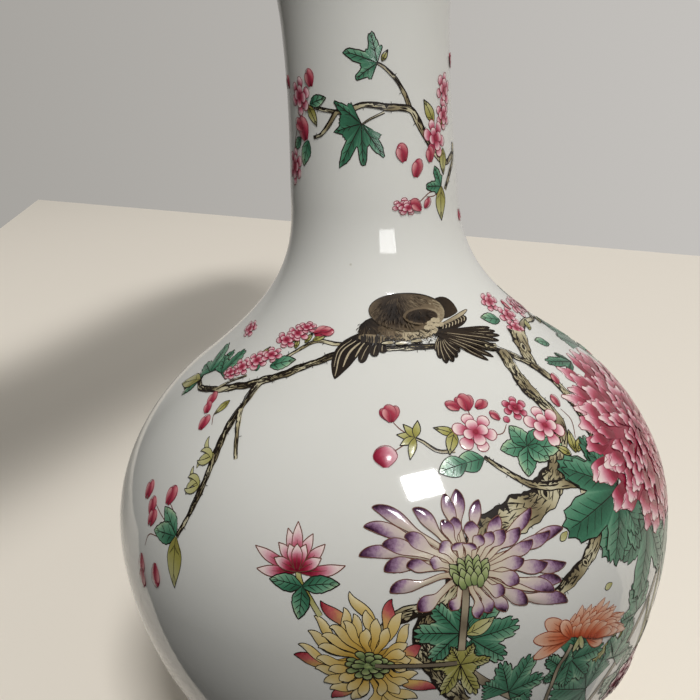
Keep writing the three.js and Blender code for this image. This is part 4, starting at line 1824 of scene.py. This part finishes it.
@dataclass(frozen=True)
class RayFlower:
    """A chrysanthemum seen with its heart, drawn petal by petal, the longest first.

    Each petal has the turn of its tip from the heart, its reach and its bend. The first ones can be of
    another kind.
    """

    petal: Blade
    petals: tuple[Place, ...]
    start: float
    sway: float
    curl: float
    other: Blade | None = None
    others: int = 0

    def paint(self, brush: Brush) -> None:
        """Paints the petals round the brush's place."""
        order = sorted(range(len(self.petals)), key=lambda i: -self.petals[i][1])
        for i in order:
            turn, reach, bend = self.petals[i]
            kind = self.other if self.other and i < self.others else self.petal
            bend *= self.curl
            a = math.radians(turn)
            petal = replace(kind, length=(reach - self.start) * (1.0 + (bend / 280) ** 2), bend=bend,
                width=kind.width * (1 + brush.wobble(0.12)), side=brush.wobble(0.16),
                sway=math.copysign(self.sway, bend) * (0.4 + brush.chance.random()))
            petal.paint(brush, -math.sin(a) * self.start, math.cos(a) * self.start, turn - bend * 0.25)


@dataclass
class OrangeChrysanthemum(Motif):
    """The orange one, seen from the side: a fringe at the right and a few broad petals at the left."""

    name: str = "orange_chrysanthemum"
    place: Point = (27.2, 127)
    stem: tuple[Point, ...] = ((27.6, 123.5), (26.4, 119.9), (24.8, 114.9), (23, 100))
    petal: Blade = Blade(12, 3.6, 0, 12, widest=0.6, root=0.5, tip=0.8, pigment=Pigment.CORAL,
        outline=Pigment.RUST, line=0.2, plump=0.1, tones=(0.0, 1.15))
    rows: tuple[tuple[float, int], ...] = ((1.0, 14), (0.76, 12), (0.5, 9))
    broad: tuple[Place, ...] = ((100, 15.4, 4.8), (44, 14.2, 5.8), (73, 15.6, 5.4), (24, 8.6, 4.6))

    def paint(self, brush: Brush) -> None:
        """Paints the stem, the fringe row by row, the broad petals and the calyx."""
        brush.vine(self.stem, 1.7)
        brush.at(*self.place)
        broad = replace(self.petal, length=16, width=6.4, root=0.2, tip=0.5, line=0.32, rays=2, rim=0.2,
            tones=(-0.1, 1.15), sway=0)
        replace(broad, length=10.5, width=5.0).paint(brush, 8.0, -3.6, -128)
        for size, count in self.rows:
            for i in range(count):
                share = (i + 0.5 + brush.wobble(0.4)) / count
                turn = -4 - 104 * share ** 0.85 + brush.wobble(7)
                length = (8.5 + 10.5 * min(share / 0.7, 1)) * size * (1 + brush.wobble(0.12))
                replace(self.petal, length=length, bend=brush.wobble(14)).paint(brush, 13.2 * share,
                    -5.2 * share, turn)
        for turn, length, width in self.broad:
            replace(broad, length=length, bend=8, width=width).paint(brush, 0, 0, turn)
        sepal = Blade(6, 2.2, root=0.5, pigment=Pigment.LIME, outline=Pigment.LINE, line=0.26, tones=(0.6, 1))
        for turn in (176, 152, -164):
            sepal.paint(brush, 4.2, -1.4, turn)


@dataclass
class YellowChrysanthemum(Motif):
    """The yellow one, with some ruby-tipped petals, seen from behind."""

    name: str = "yellow_chrysanthemum"
    place: Point = (-6.4, 131.2)
    petal: Blade = Blade(28, 3.6, widest=0.72, root=0.5, neck=0.25, tip=0.8, pigment=Pigment.AMBER,
        outline=Pigment.LINE, line=0.28, plump=0.25)
    tipped: tuple[Place, ...] = ((37, 27, -16), (-19, 23.5, -30), (88, 26.5, 14), (137, 21, 20),
        (-70, 18, -14), (-119, 24, -20))
    long: tuple[Place, ...] = ((14, 27.5, -14), (23, 22, 20), (-31, 20.5, -24), (-43, 19.5, -20),
        (63, 23.5, 26), (78, 26, 22), (49, 24.5, 26), (100, 20, 30), (118, 18.5, 20), (155, 17.5, 20),
        (175, 21, 10), (-165, 22, -14), (-150, 22, -14), (-136, 22, -14), (-107, 17, -16), (-92, 18, 14),
        (3, 19, -14), (128, 20, 14))
    short: tuple[Place, ...] = ((5, 13, 14), (-9, 16, -20), (-26, 14, -26), (30, 16, 60), (47, 16, 90),
        (60, 17, 70), (74, 17, 60), (88, 18, 40), (104, 14.5, 30), (-58, 14, 24), (-84, 13, 20),
        (-124, 15, -20), (-146, 15, -20), (-168, 14, 14), (164, 14, 20), (144, 14, 20), (124, 13, 24),
        (16, 18, 24), (-70, 12, 20), (-102, 12, 14))
    calyx_place: Spot = (-6.8, 130.8, 0, 0.68)
    calyx_radius: float = 7.4
    scallop: Blade = Blade(3.7, 3.1, widest=0.6, root=0.6, tip=0.45, pigment=Pigment.SAGE,
        outline=Pigment.LINE, line=0.42, tones=(-0.2, 0.9))

    def paint(self, brush: Brush) -> None:
        """Paints the petals over their stem, then the calyx and the stem's top over them."""
        brush.vine(((-5.5, 131), (-2, 130.4), (2, 130), (7, 129.4)), 1.7)
        ruby = replace(self.petal, pigment=Pigment.FLAME, width=4.4, tip=0.85)
        RayFlower(self.petal, self.tipped + self.long + self.short, 3.6, 34, 1.7, ruby,
            len(self.tipped)).paint(brush.at(*self.place))
        self.paint_calyx(brush.at(*self.calyx_place))
        brush.vine(((-5.8, 131), (-2, 130.4), (2, 130), (5, 129.6)), 1.5)

    def paint_calyx(self, brush: Brush) -> None:
        """Paints a flat calyx, seen from behind, as two rings of small green scallops."""
        radius = self.calyx_radius
        scallop = replace(self.scallop, length=radius * 0.5, width=radius * 0.42)
        brush.oval((0, 0), (radius * 0.6, radius * 0.6), 0.35, Pigment.SAGE, 0.05)
        for share, count in ((0.56, 12), (0.2, 7)):
            for i in range(count):
                a = 2 * math.pi * (i + brush.wobble(0.25)) / count
                replace(scallop, length=scallop.length * (1 + brush.wobble(0.2))).paint(brush,
                    -math.sin(a) * radius * share, math.cos(a) * radius * share, math.degrees(a))


@dataclass
class PurpleChrysanthemum(Motif):
    """The purple one, thickly raised, with dark spoon tips and a calyx like a young cone."""

    name: str = "purple_chrysanthemum"
    place: Point = (9.6, 159)
    stem: tuple[Point, ...] = ((9.2, 155), (8.9, 150), (8.4, 144), (7.7, 134))
    spoon: Blade = Blade(30, 4.6, widest=0.76, root=0.4, neck=0.44, tip=0.66, pigment=Pigment.AUBERGINE,
        outline=Pigment.UMBER, line=0.3, plump=0.5)
    left: tuple[Place, ...] = ((50, 34.5, 40), (62, 34, 46), (78, 33.5, 50), (85, 25.5, 56), (100, 25, 40),
        (123, 20, 24), (33, 25, 44), (55, 21.5, 50), (80, 18.5, 52), (68, 27, 46), (70, 12, 34))
    top: tuple[Place, ...] = ((6, 25.5, -14), (-3, 26.5, 8), (-21, 23, -24), (18, 17.5, 34), (-17, 16, -20),
        (4, 18, 10), (-16, 9, 20), (10, 9.5, -20), (-32, 12.5, 20), (-44, 15, 26), (-42, 20.5, 30),
        (36, 12, 24))
    right: tuple[Place, ...] = ((-60, 30, 30), (-82, 37.5, -26), (-79, 32, 34), (-99, 37, 20),
        (-108, 36, -20), (-97, 29, 26), (-118, 40.5, -24), (-114, 33, -30), (-127, 24.5, -24),
        (-113, 18.5, -40), (-78, 24.5, 40), (-64, 22.5, 34), (-54, 18, 34), (-90, 20, 34))
    below: tuple[Place, ...] = ((-142, 19.5, -26), (-154, 16, 20), (-170, 16, 24), (152, 13.5, 16),
        (-130, 15, -30))
    calyx_place: Point = (10.2, 158.6)
    scale: Blade = Blade(4.4, 2.5, widest=0.45, root=0.5, tip=0.75, pigment=Pigment.SAGE,
        outline=Pigment.LINE, line=0.3, plump=0.2, tones=(0.1, 1.0))
    scale_rows: tuple[tuple[float, float, int, float], ...] = ((1.2, 3.4, 5, 44), (-0.6, 4.1, 5, 34),
        (-2.4, 3.8, 5, 24), (-4.1, 2.6, 4, 12))

    def paint(self, brush: Brush) -> None:
        """Paints the stem, the petals and the calyx."""
        brush.vine(self.stem, 2.5, line=0.4)
        petals = self.left + self.top + self.right + self.below
        RayFlower(self.spoon, petals, 4.6, 20, 1.6).paint(brush.at(*self.place))
        brush.at(*self.calyx_place)
        for level, half, count, fan in self.scale_rows:
            for i in range(count):
                share = 2 * i / (count - 1) - 1
                self.scale.paint(brush, share * half, level - share * share, -share * fan)


@dataclass
class PinkFlower(Motif):
    """The small pink flower on the left, with its three leaves.

    Petals have a turn, a length and a bend, and leaves a width before it.
    """

    name: str = "pink_flower"
    place: Point = (-18.3, 160.6)
    stem: tuple[Point, ...] = ((-18.3, 160.6), (-17.6, 156.6), (-15.9, 152), (-14.2, 147))
    petal: Blade = Blade(15, 3.7, widest=0.6, root=0.4, tip=1.0, line=0.34, plump=0.16, rim=0.15, rays=1,
        tones=(-0.55, 1.3))
    petals: tuple[Place, ...] = ((71, 17, -18), (97, 15, -20), (-82, 16.4, 30), (-45, 12.4, 14),
        (20, 13.6, 8), (-20, 12.6, -8), (44, 10.8, 16), (5, 15.4, 0), (-62, 9, 12), (72, 9, -8),
        (24, 8.6, 10), (-16, 8.6, -8), (4, 8.2, 0))
    leaf_place: Point = (-17.3, 155.6)
    leaf: Blade = Blade(12, 5.6, widest=0.42, root=0.1, tip=0.9, pigment=Pigment.GREEN,
        outline=Pigment.LINE, line=0.42, veins=4, tones=(0.1, 0.85), side=0.25, teeth=4, bite=0.1)
    leaves: Spots = ((82, 11.8, 6.2, 12), (-78, 12.8, 6.0, -16), (176, 11.0, 6.6, -8))

    def paint(self, brush: Brush) -> None:
        """Paints the stem, the flower and its leaves."""
        brush.vine(self.stem, 1.9, pigment=Pigment.LIME)
        brush.at(*self.place)
        for turn, length, bend in self.petals:
            replace(self.petal, length=length, bend=bend).paint(brush, 0, 0, turn - bend * 0.25)
        brush.at(*self.leaf_place)
        for turn, length, width, bend in self.leaves:
            replace(self.leaf, length=length, width=width, bend=bend).paint(brush, 0, 0, turn)


@dataclass
class GreatPeony(Motif):
    """The big pink peony on the right, with its leaves.

    Leaves have an azimuth, a height, a turn and a length. Petals are set back from their ring's edge by the
    share of the flower that tuck gives, and the fraction of them that frilly gives has more frills.
    """

    name: str = "great_peony"
    place: Point = (67, 172.5)
    wide: float = 44.0
    high: float = 36.0
    heart: float = 0.86
    petal: Blade = Blade(13.5, 8.4, widest=0.66, root=0.5, blunt=0.55, crown=0.3, notch=0.05, frills=1.5,
        outline=Pigment.MADDER, line=0.24, plump=0.35, rim=0.2)
    rings: int = 8
    ring_step: float = 0.12
    first_count: int = 27
    count_step: int = 3
    size_step: float = 0.05
    tuck: float = 0.24
    frilly: float = 0.6
    leaf: Leaf = Leaf(33, ((-92, 0.6, 34), (-50, 0.85, 34), (0, 1.0, 36), (46, 0.8, 34), (84, 0.55, 34)),
        0.5, 2.0, 0.12, 8, tones=(0.0, 0.8), side_veins=4)
    leaves: Spots = ((80, 146, 190, 32), (94, 158, -130, 30), (88, 196, -60, 27), (64, 142, 176, 33),
        (52, 150, 150, 30), (46, 165, 132, 27), (44.8, 168.5, 54, 26), (45.5, 166.5, 98, 33))
    shoots: tuple[Place, ...] = ((29.5, 162.5, 120), (37.5, 139, 96))

    def paint(self, brush: Brush) -> None:
        """Paints the leaves, then the flower from its outermost ring in."""
        self.paint_leaves(brush)
        brush.at(*self.place)
        brush.oval((0, 0), (self.wide * self.heart, self.high * self.heart), 0.12, Pigment.ROSE)
        for ring in range(self.rings):
            share, size = 1.0 - self.ring_step * ring, 1.0 - self.size_step * ring
            count = self.first_count - self.count_step * ring
            for i in range(count):
                a = 2 * math.pi * (i + 0.5 * (ring % 2) + brush.wobble(0.34)) / count
                out = max(share * (1 + brush.wobble(0.07)) - self.tuck * size, 0.02)
                self.paint_petal(brush, a, out, size)

    def paint_petal(self, brush: Brush, a: float, out: float, size: float) -> None:
        """Paints one ruffled petal.

        Args:
            brush: what it is painted with.
            a: its direction from the heart, in radians.
            out: its root's distance from the heart, as a share of the flower.
            size: its size, as a share of the usual one.
        """
        heading = math.degrees(math.atan2(math.sin(a) * self.wide, math.cos(a) * self.high))
        deep = brush.wobble(0.2)
        petal = replace(self.petal, length=self.petal.length * size * (1 + brush.wobble(0.2)),
            width=self.petal.width * size * (1 + brush.wobble(0.26)), bend=brush.wobble(26),
            side=brush.wobble(0.2), tones=(-0.75 + deep, 1.1 + deep),
            frills=self.petal.frills if brush.chance.random() < self.frilly else 1.0)
        petal.paint(brush, -math.sin(a) * self.wide * out, math.cos(a) * self.high * out,
            heading + brush.wobble(15))

    def paint_leaves(self, brush: Brush) -> None:
        """Paints the long cut leaves round the flower, and two shoots on the stems."""
        for azimuth, height, turn, length in self.leaves:
            replace(self.leaf, length=length).paint(brush.at(azimuth, height), 0, 0, turn)
        replace(self.leaf, length=17, web=0.25, lobes=((-34, 0.6, 24), (0, 1.0, 26),
            (34, 0.5, 24))).paint(brush.at(67, 199.5), 0, 0, 64)
        shoot = Blade(4.2, 2.6, pigment=Pigment.LIME, outline=Pigment.LINE, line=0.26, tones=(0.5, 1))
        for azimuth, height, turn in self.shoots:
            shoot.paint(brush.at(azimuth, height), 0, 0, turn)


@dataclass
class BackSprays(Spray):
    """A quieter continuation of the planting round the back."""

    name: str = "back_sprays"
    boughs: Boughs = (
        Bough(((228, 96), (222, 112), (212, 126), (208, 140), (214, 154), (224, 164), (232, 176)),
            (4.0, 4.4, 3.0, 2.0, 1.2), 0.5, knots=(0.3,)),
        Bough(((210, 136), (198, 146), (188, 160), (184, 172)), (2.6, 1.8, 1.0), 0.5, shadow=-1))
    leaves: Spots = ((222, 162, 40, 12), (232, 176, -30, 13), (232, 176, 60, 12), (186, 164, 70, 12),
        (184, 172, 20, 12), (198, 146, 150, 12), (214, 126, -90, 13), (224, 112, 80, 12))
    young: Spots = ((208, 140, 70, 10), (232, 177, 160, 11), (184, 172, -50, 10))
    blossoms: tuple[tuple[float, Spots], ...] = ((0.0, ((218, 158, 7.6, 1.0), (228, 170, 6.8, 1.0),
        (190, 158, 7.4, 1.0), (205, 148, 6.6, 1.0), (216, 134, 7.0, 1.0))),)
    buds: Spots = ((236, 184, -20, 2.8), (226, 182, 10, 2.8), (180, 180, 10, 2.8), (190, 176, -20, 2.6),
        (200, 160, 0, 2.6))


@dataclass
class VaseBody:
    """The glazed body, the bare foot ring and the slip fillet inside it."""

    form: VaseForm
    turns: int = 240

    def thrown(self, name: str, profile: Sequence[Point], closed: bool, material: bpy.types.Material,
               nodes: Sequence[str]) -> bpy.types.Object:
        """Turns a profile about the axis into a piece that stands for CAD nodes.

        Args:
            name: the piece's name.
            profile: radius and level of each point.
            closed: whether the last point joins the first.
            material: its finish.
            nodes: the CAD nodes that it stands for.

        Returns:
            The new piece.
        """
        mesh = bmesh.new()
        verts = [mesh.verts.new((radius * MM, 0, level * MM)) for radius, level in profile]
        edges = [mesh.edges.new(pair) for pair in zip(verts, verts[1:])]
        if closed:
            edges.append(mesh.edges.new((verts[-1], verts[0])))
        bmesh.ops.spin(mesh, geom=verts + edges, cent=(0, 0, 0), axis=(0, 0, 1), dvec=(0, 0, 0),
            angle=2 * math.pi, steps=self.turns, use_merge=True, use_duplicate=False)
        bmesh.ops.remove_doubles(mesh, verts=mesh.verts, dist=1e-6)
        bmesh.ops.recalc_face_normals(mesh, faces=mesh.faces)
        for face in mesh.faces:
            face.smooth = True
        piece = new_piece(name, mesh, [material])
        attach(piece, ROOT_BODY)
        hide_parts(*nodes)
        LOG.info("%s: %d faces", name, len(piece.data.polygons))
        return piece

    def build(self) -> None:
        """Builds the three turned pieces."""
        glaze = Glaze().material()
        self.thrown("glazed_body", self.form.closed_profile(), False, glaze,
            ["lower_globe", "upper_globe", "neck", "belly_luting_seam", "neck_luting_seam"])
        self.thrown("foot_ring_biscuit", self.form.ring_profile(), True, Biscuit().material(),
            ["foot_ring"])
        self.thrown("foot_slip_fillet", self.form.seam_profile(), True, glaze, ["foot_luting_seam"])


@dataclass(frozen=True)
class Camera:
    """The camera at the photograph's angle, from a fit of the vase's outline."""

    aim_mm: Point = (-13.87, 199.97)
    distance_mm: float = 369.2
    pitch_degrees: float = 18.0
    roll_degrees: float = -3.62
    focal_pixels: float = 850.0
    image_pixels: float = 700.0
    sensor_mm: float = 36.0
    near_metres: float = 0.01

    def build(self) -> None:
        """Sets the camera where the photograph was taken from."""
        lens = bpy.data.cameras.new("camera")
        lens.sensor_width = self.sensor_mm
        lens.lens = lens.sensor_width * self.focal_pixels / self.image_pixels
        lens.clip_start = self.near_metres
        camera = bpy.data.objects.new("camera", lens)
        bpy.context.scene.collection.objects.link(camera)
        pitch, roll = math.radians(self.pitch_degrees), math.radians(self.roll_degrees)
        forward = Vector((0, math.cos(pitch), -math.sin(pitch)))
        right, up = Vector((1, 0, 0)), Vector((0, math.sin(pitch), math.cos(pitch)))
        side = right * math.cos(roll) + up * math.sin(roll)
        top = up * math.cos(roll) - right * math.sin(roll)
        place = Vector((self.aim_mm[0], 0, self.aim_mm[1])) * MM - forward * self.distance_mm * MM
        turn = Matrix((side, top, -forward)).transposed().to_4x4()
        camera.matrix_world = Matrix.Translation(place) @ turn
        bpy.context.scene.camera = camera


@dataclass(frozen=True)
class Lamp:
    """A soft rectangular lamp, placed and sized in metres and given its power in watts.

    It is turned to its aim, or to the vase if it has none.
    """

    name: str
    place: Place
    size: Point
    power: float
    aim: Place | None = None

    def build(self, vase: Place) -> None:
        """Adds the lamp.

        Args:
            vase: the middle of the vase's belly in metres.
        """
        light = bpy.data.lights.new(self.name, "AREA")
        light.shape = "RECTANGLE"
        light.size, light.size_y = self.size
        light.energy = self.power
        lamp = bpy.data.objects.new(self.name, light)
        bpy.context.scene.collection.objects.link(lamp)
        lamp.location = self.place
        toward = Vector(self.aim or vase) - lamp.location
        lamp.rotation_euler = toward.to_track_quat("-Z", "Y").to_euler()


@dataclass(frozen=True)
class Sheet:
    """A flat matt stage piece, its corners in metres.

    The camera may see it, the glaze may mirror it, and it may take part in the light on other pieces.
    """

    name: str
    corners: tuple[Point, ...]
    colour: str
    level: float = 0.0
    camera: bool = True
    glossy: bool = True
    light: bool = True
    upright: bool = False
    roughness: float = 0.8

    def build(self) -> None:
        """Adds the sheet: lying at its level, or standing at that distance before the vase."""
        mesh = bmesh.new()
        rim = bmesh.ops.create_circle(mesh, cap_ends=True, segments=len(self.corners), radius=1.0)["verts"]
        for vert, (a, b) in zip(rim, self.corners):
            vert.co = (a, self.level, b) if self.upright else (a, b, self.level)
        bmesh.ops.recalc_face_normals(mesh, faces=mesh.faces)
        paint = bpy.data.materials.new(self.name + "_paint")
        paint.use_nodes = True
        set_inputs(paint.node_tree.nodes["Principled BSDF"], {"Base Color": linear(self.colour),
            "Roughness": self.roughness})
        piece = new_piece(self.name, mesh, [paint])
        piece.visible_camera, piece.visible_glossy = self.camera, self.glossy
        piece.visible_diffuse = piece.visible_shadow = self.light


@dataclass(frozen=True)
class Room:
    """The room: a dim light from above and the right, and the walls that the eye and the glaze see, with
    painted shade that makes them darker to the left.

    The glaze mirrors a dark doorway on the left and the unlit room behind the camera. Each fade has its
    axis of the view, the span on it and the values at the span's ends.
    """

    light: str = "#d5d5d3"
    # Painted shade: the wall is darker on its left, away from the light, and paler on its lit right.
    shaded_wall_left: str = "#a5a29d"
    lit_wall_right: str = "#c4c1bd"
    above: tuple[str, Point, Point] = ("Z", (-0.25, 0.3), (0.046, 0.46))
    from_right: tuple[str, Point, Point] = ("X", (-1.0, 0.3), (0.5, 1.0))
    wall: tuple[str, Point, Point] = ("X", (-0.4, 0.4), (0.0, 1.0))
    ahead: tuple[str, Point, Point] = ("Y", (-0.1, 0.6), (0.25, 1.0))
    doorway: tuple[str, Point, Point] = ("X", (-0.6, -0.45), (0.15, 1.0))

    def build(self) -> None:
        """Sets the world's nodes."""
        world = bpy.data.worlds.new("room")
        bpy.context.scene.world = world
        world.use_nodes = True
        tree = world.node_tree
        look = add_node(tree, "ShaderNodeTexCoord")
        split = add_node(tree, "ShaderNodeSeparateXYZ", links={"Vector": look.outputs["Generated"]})
        fades = []
        for axis, span, result in (self.above, self.from_right, self.wall, self.ahead, self.doorway):
            values = dict(zip(("From Min", "From Max", "To Min", "To Max"), (*span, *result)))
            fades.append(add_node(tree, "ShaderNodeMapRange", links={"Value": split.outputs[axis]},
                values=values).outputs["Result"])
        above, from_right, wall, ahead, doorway = fades
        strength, mirrored = (add_node(tree, "ShaderNodeMath", {"operation": "MULTIPLY"},
            {0: first, 1: second}).outputs["Value"]
            for first, second in ((from_right, above), (doorway, ahead)))
        background = tree.nodes["Background"]
        set_inputs(background, {"Color": linear(self.light)})
        tree.links.new(strength, background.inputs["Strength"])
        # Painted shade on the walls: their colour fades from the shaded left to the lit right.
        shade = add_node(tree, "ShaderNodeMix", {"data_type": "RGBA"}, {"Factor": wall},
            {MIX_A: linear(self.shaded_wall_left), MIX_B: linear(self.lit_wall_right)})
        path = add_node(tree, "ShaderNodeLightPath")
        seen = path.outputs["Is Camera Ray"]
        lit = add_node(tree, "ShaderNodeMath", {"operation": "MAXIMUM"}, {0: seen, 1: mirrored})
        walls = add_node(tree, "ShaderNodeBackground", links={"Color": shade.outputs[MIX_OUT],
            "Strength": lit.outputs["Value"]})
        for other in ("Is Glossy Ray", "Is Transmission Ray"):
            either = add_node(tree, "ShaderNodeMath", {"operation": "MAXIMUM"},
                {0: seen, 1: path.outputs[other]})
            seen = either.outputs["Value"]
        mix = add_node(tree, "ShaderNodeMixShader", links={0: seen, 1: background.outputs["Background"],
            2: walls.outputs["Background"]})
        tree.links.new(mix.outputs["Shader"], tree.nodes["World Output"].inputs["Surface"])


@dataclass(frozen=True)
class Studio:
    """A pale table, a grey wall beyond it, the windows' light and the camera.

    The near part of the table lay in the photographer's shadow, so the vase gets no light or mirror image
    from it. Something long and dark hangs between the windows and the table, and shades a band of it. The
    photographer's hands, below the lens, hide the low window from the belly.
    """

    belly_level: float
    table: str = "#efe6d8"
    table_back: tuple[Point, ...] = ((-0.95, 2.32), (1.82, -0.12), (1.6, -0.36), (0.3, -0.06),
        (-0.12, -0.06), (-0.62, 0.236))
    table_front: tuple[Point, ...] = ((-0.62, 0.236), (-0.12, -0.06), (0.3, -0.06), (1.6, -0.36),
        (1.2, -1.1), (-1.1, -1.1), (-1.1, 0.236))
    shade_level: float = 0.5
    shade_outline: tuple[Point, ...] = ((-0.22, -0.17), (-0.17, -0.07), (-0.1, 0.06), (0.0, 0.27),
        (0.04, 0.53), (-0.07, 0.69), (-0.19, 0.55), (-0.29, 0.25), (-0.4, 0.03))
    hands_place: float = -0.36
    hands_outline: tuple[Point, ...] = ((-0.16, 0.265), (0.16, 0.265), (0.16, 0.05), (-0.16, 0.05))
    lamps: tuple[Lamp, ...] = (
        Lamp("ceiling_window", (1.12, -3.45, 5.27), (1.41, 1.26), 285.0),
        Lamp("low_window", (0.312, -1.49, 0.55), (0.54, 0.38), 5.0),
        Lamp("far_ceiling", (0.6, 2.2, 2.2), (2.4, 2.0), 10.0, (0.45, 2.1, 0.0)))

    def build(self) -> None:
        """Builds the camera, the stage, the lamps and the room."""
        Camera().build()
        for sheet in (Sheet("table_top", self.table_back, self.table),
                      Sheet("table_front", self.table_front, self.table, glossy=False, light=False),
                      Sheet("hanging_shade", self.shade_outline, "#303030", self.shade_level, False, False),
                      Sheet("dark_hands", self.hands_outline, "#2a2622", self.hands_place, False,
                            upright=True)):
            sheet.build()
        for lamp in self.lamps:
            lamp.build((0, 0, self.belly_level * MM))
        Room().build()
        bpy.context.scene.view_settings.view_transform = "Standard"


def main() -> None:
    """Builds the vase, its painting in the order that the brush laid it, and its studio."""
    logging.basicConfig(level=logging.INFO)
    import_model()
    form = VaseForm.from_frame()
    Studio(form.belly_level).build()
    VaseBody(form).build()
    ground = Ground(form)
    for motif in (NeckSpray, FarBlossoms, ShoulderBough, PerchedBird, OldTrunk, CrabApple, GroundLeaves,
                  OrangeChrysanthemum, YellowChrysanthemum, PurpleChrysanthemum, PinkFlower, GreatPeony,
                  BackSprays):
        motif(ground).build()


if __name__ == "__main__":
    main()
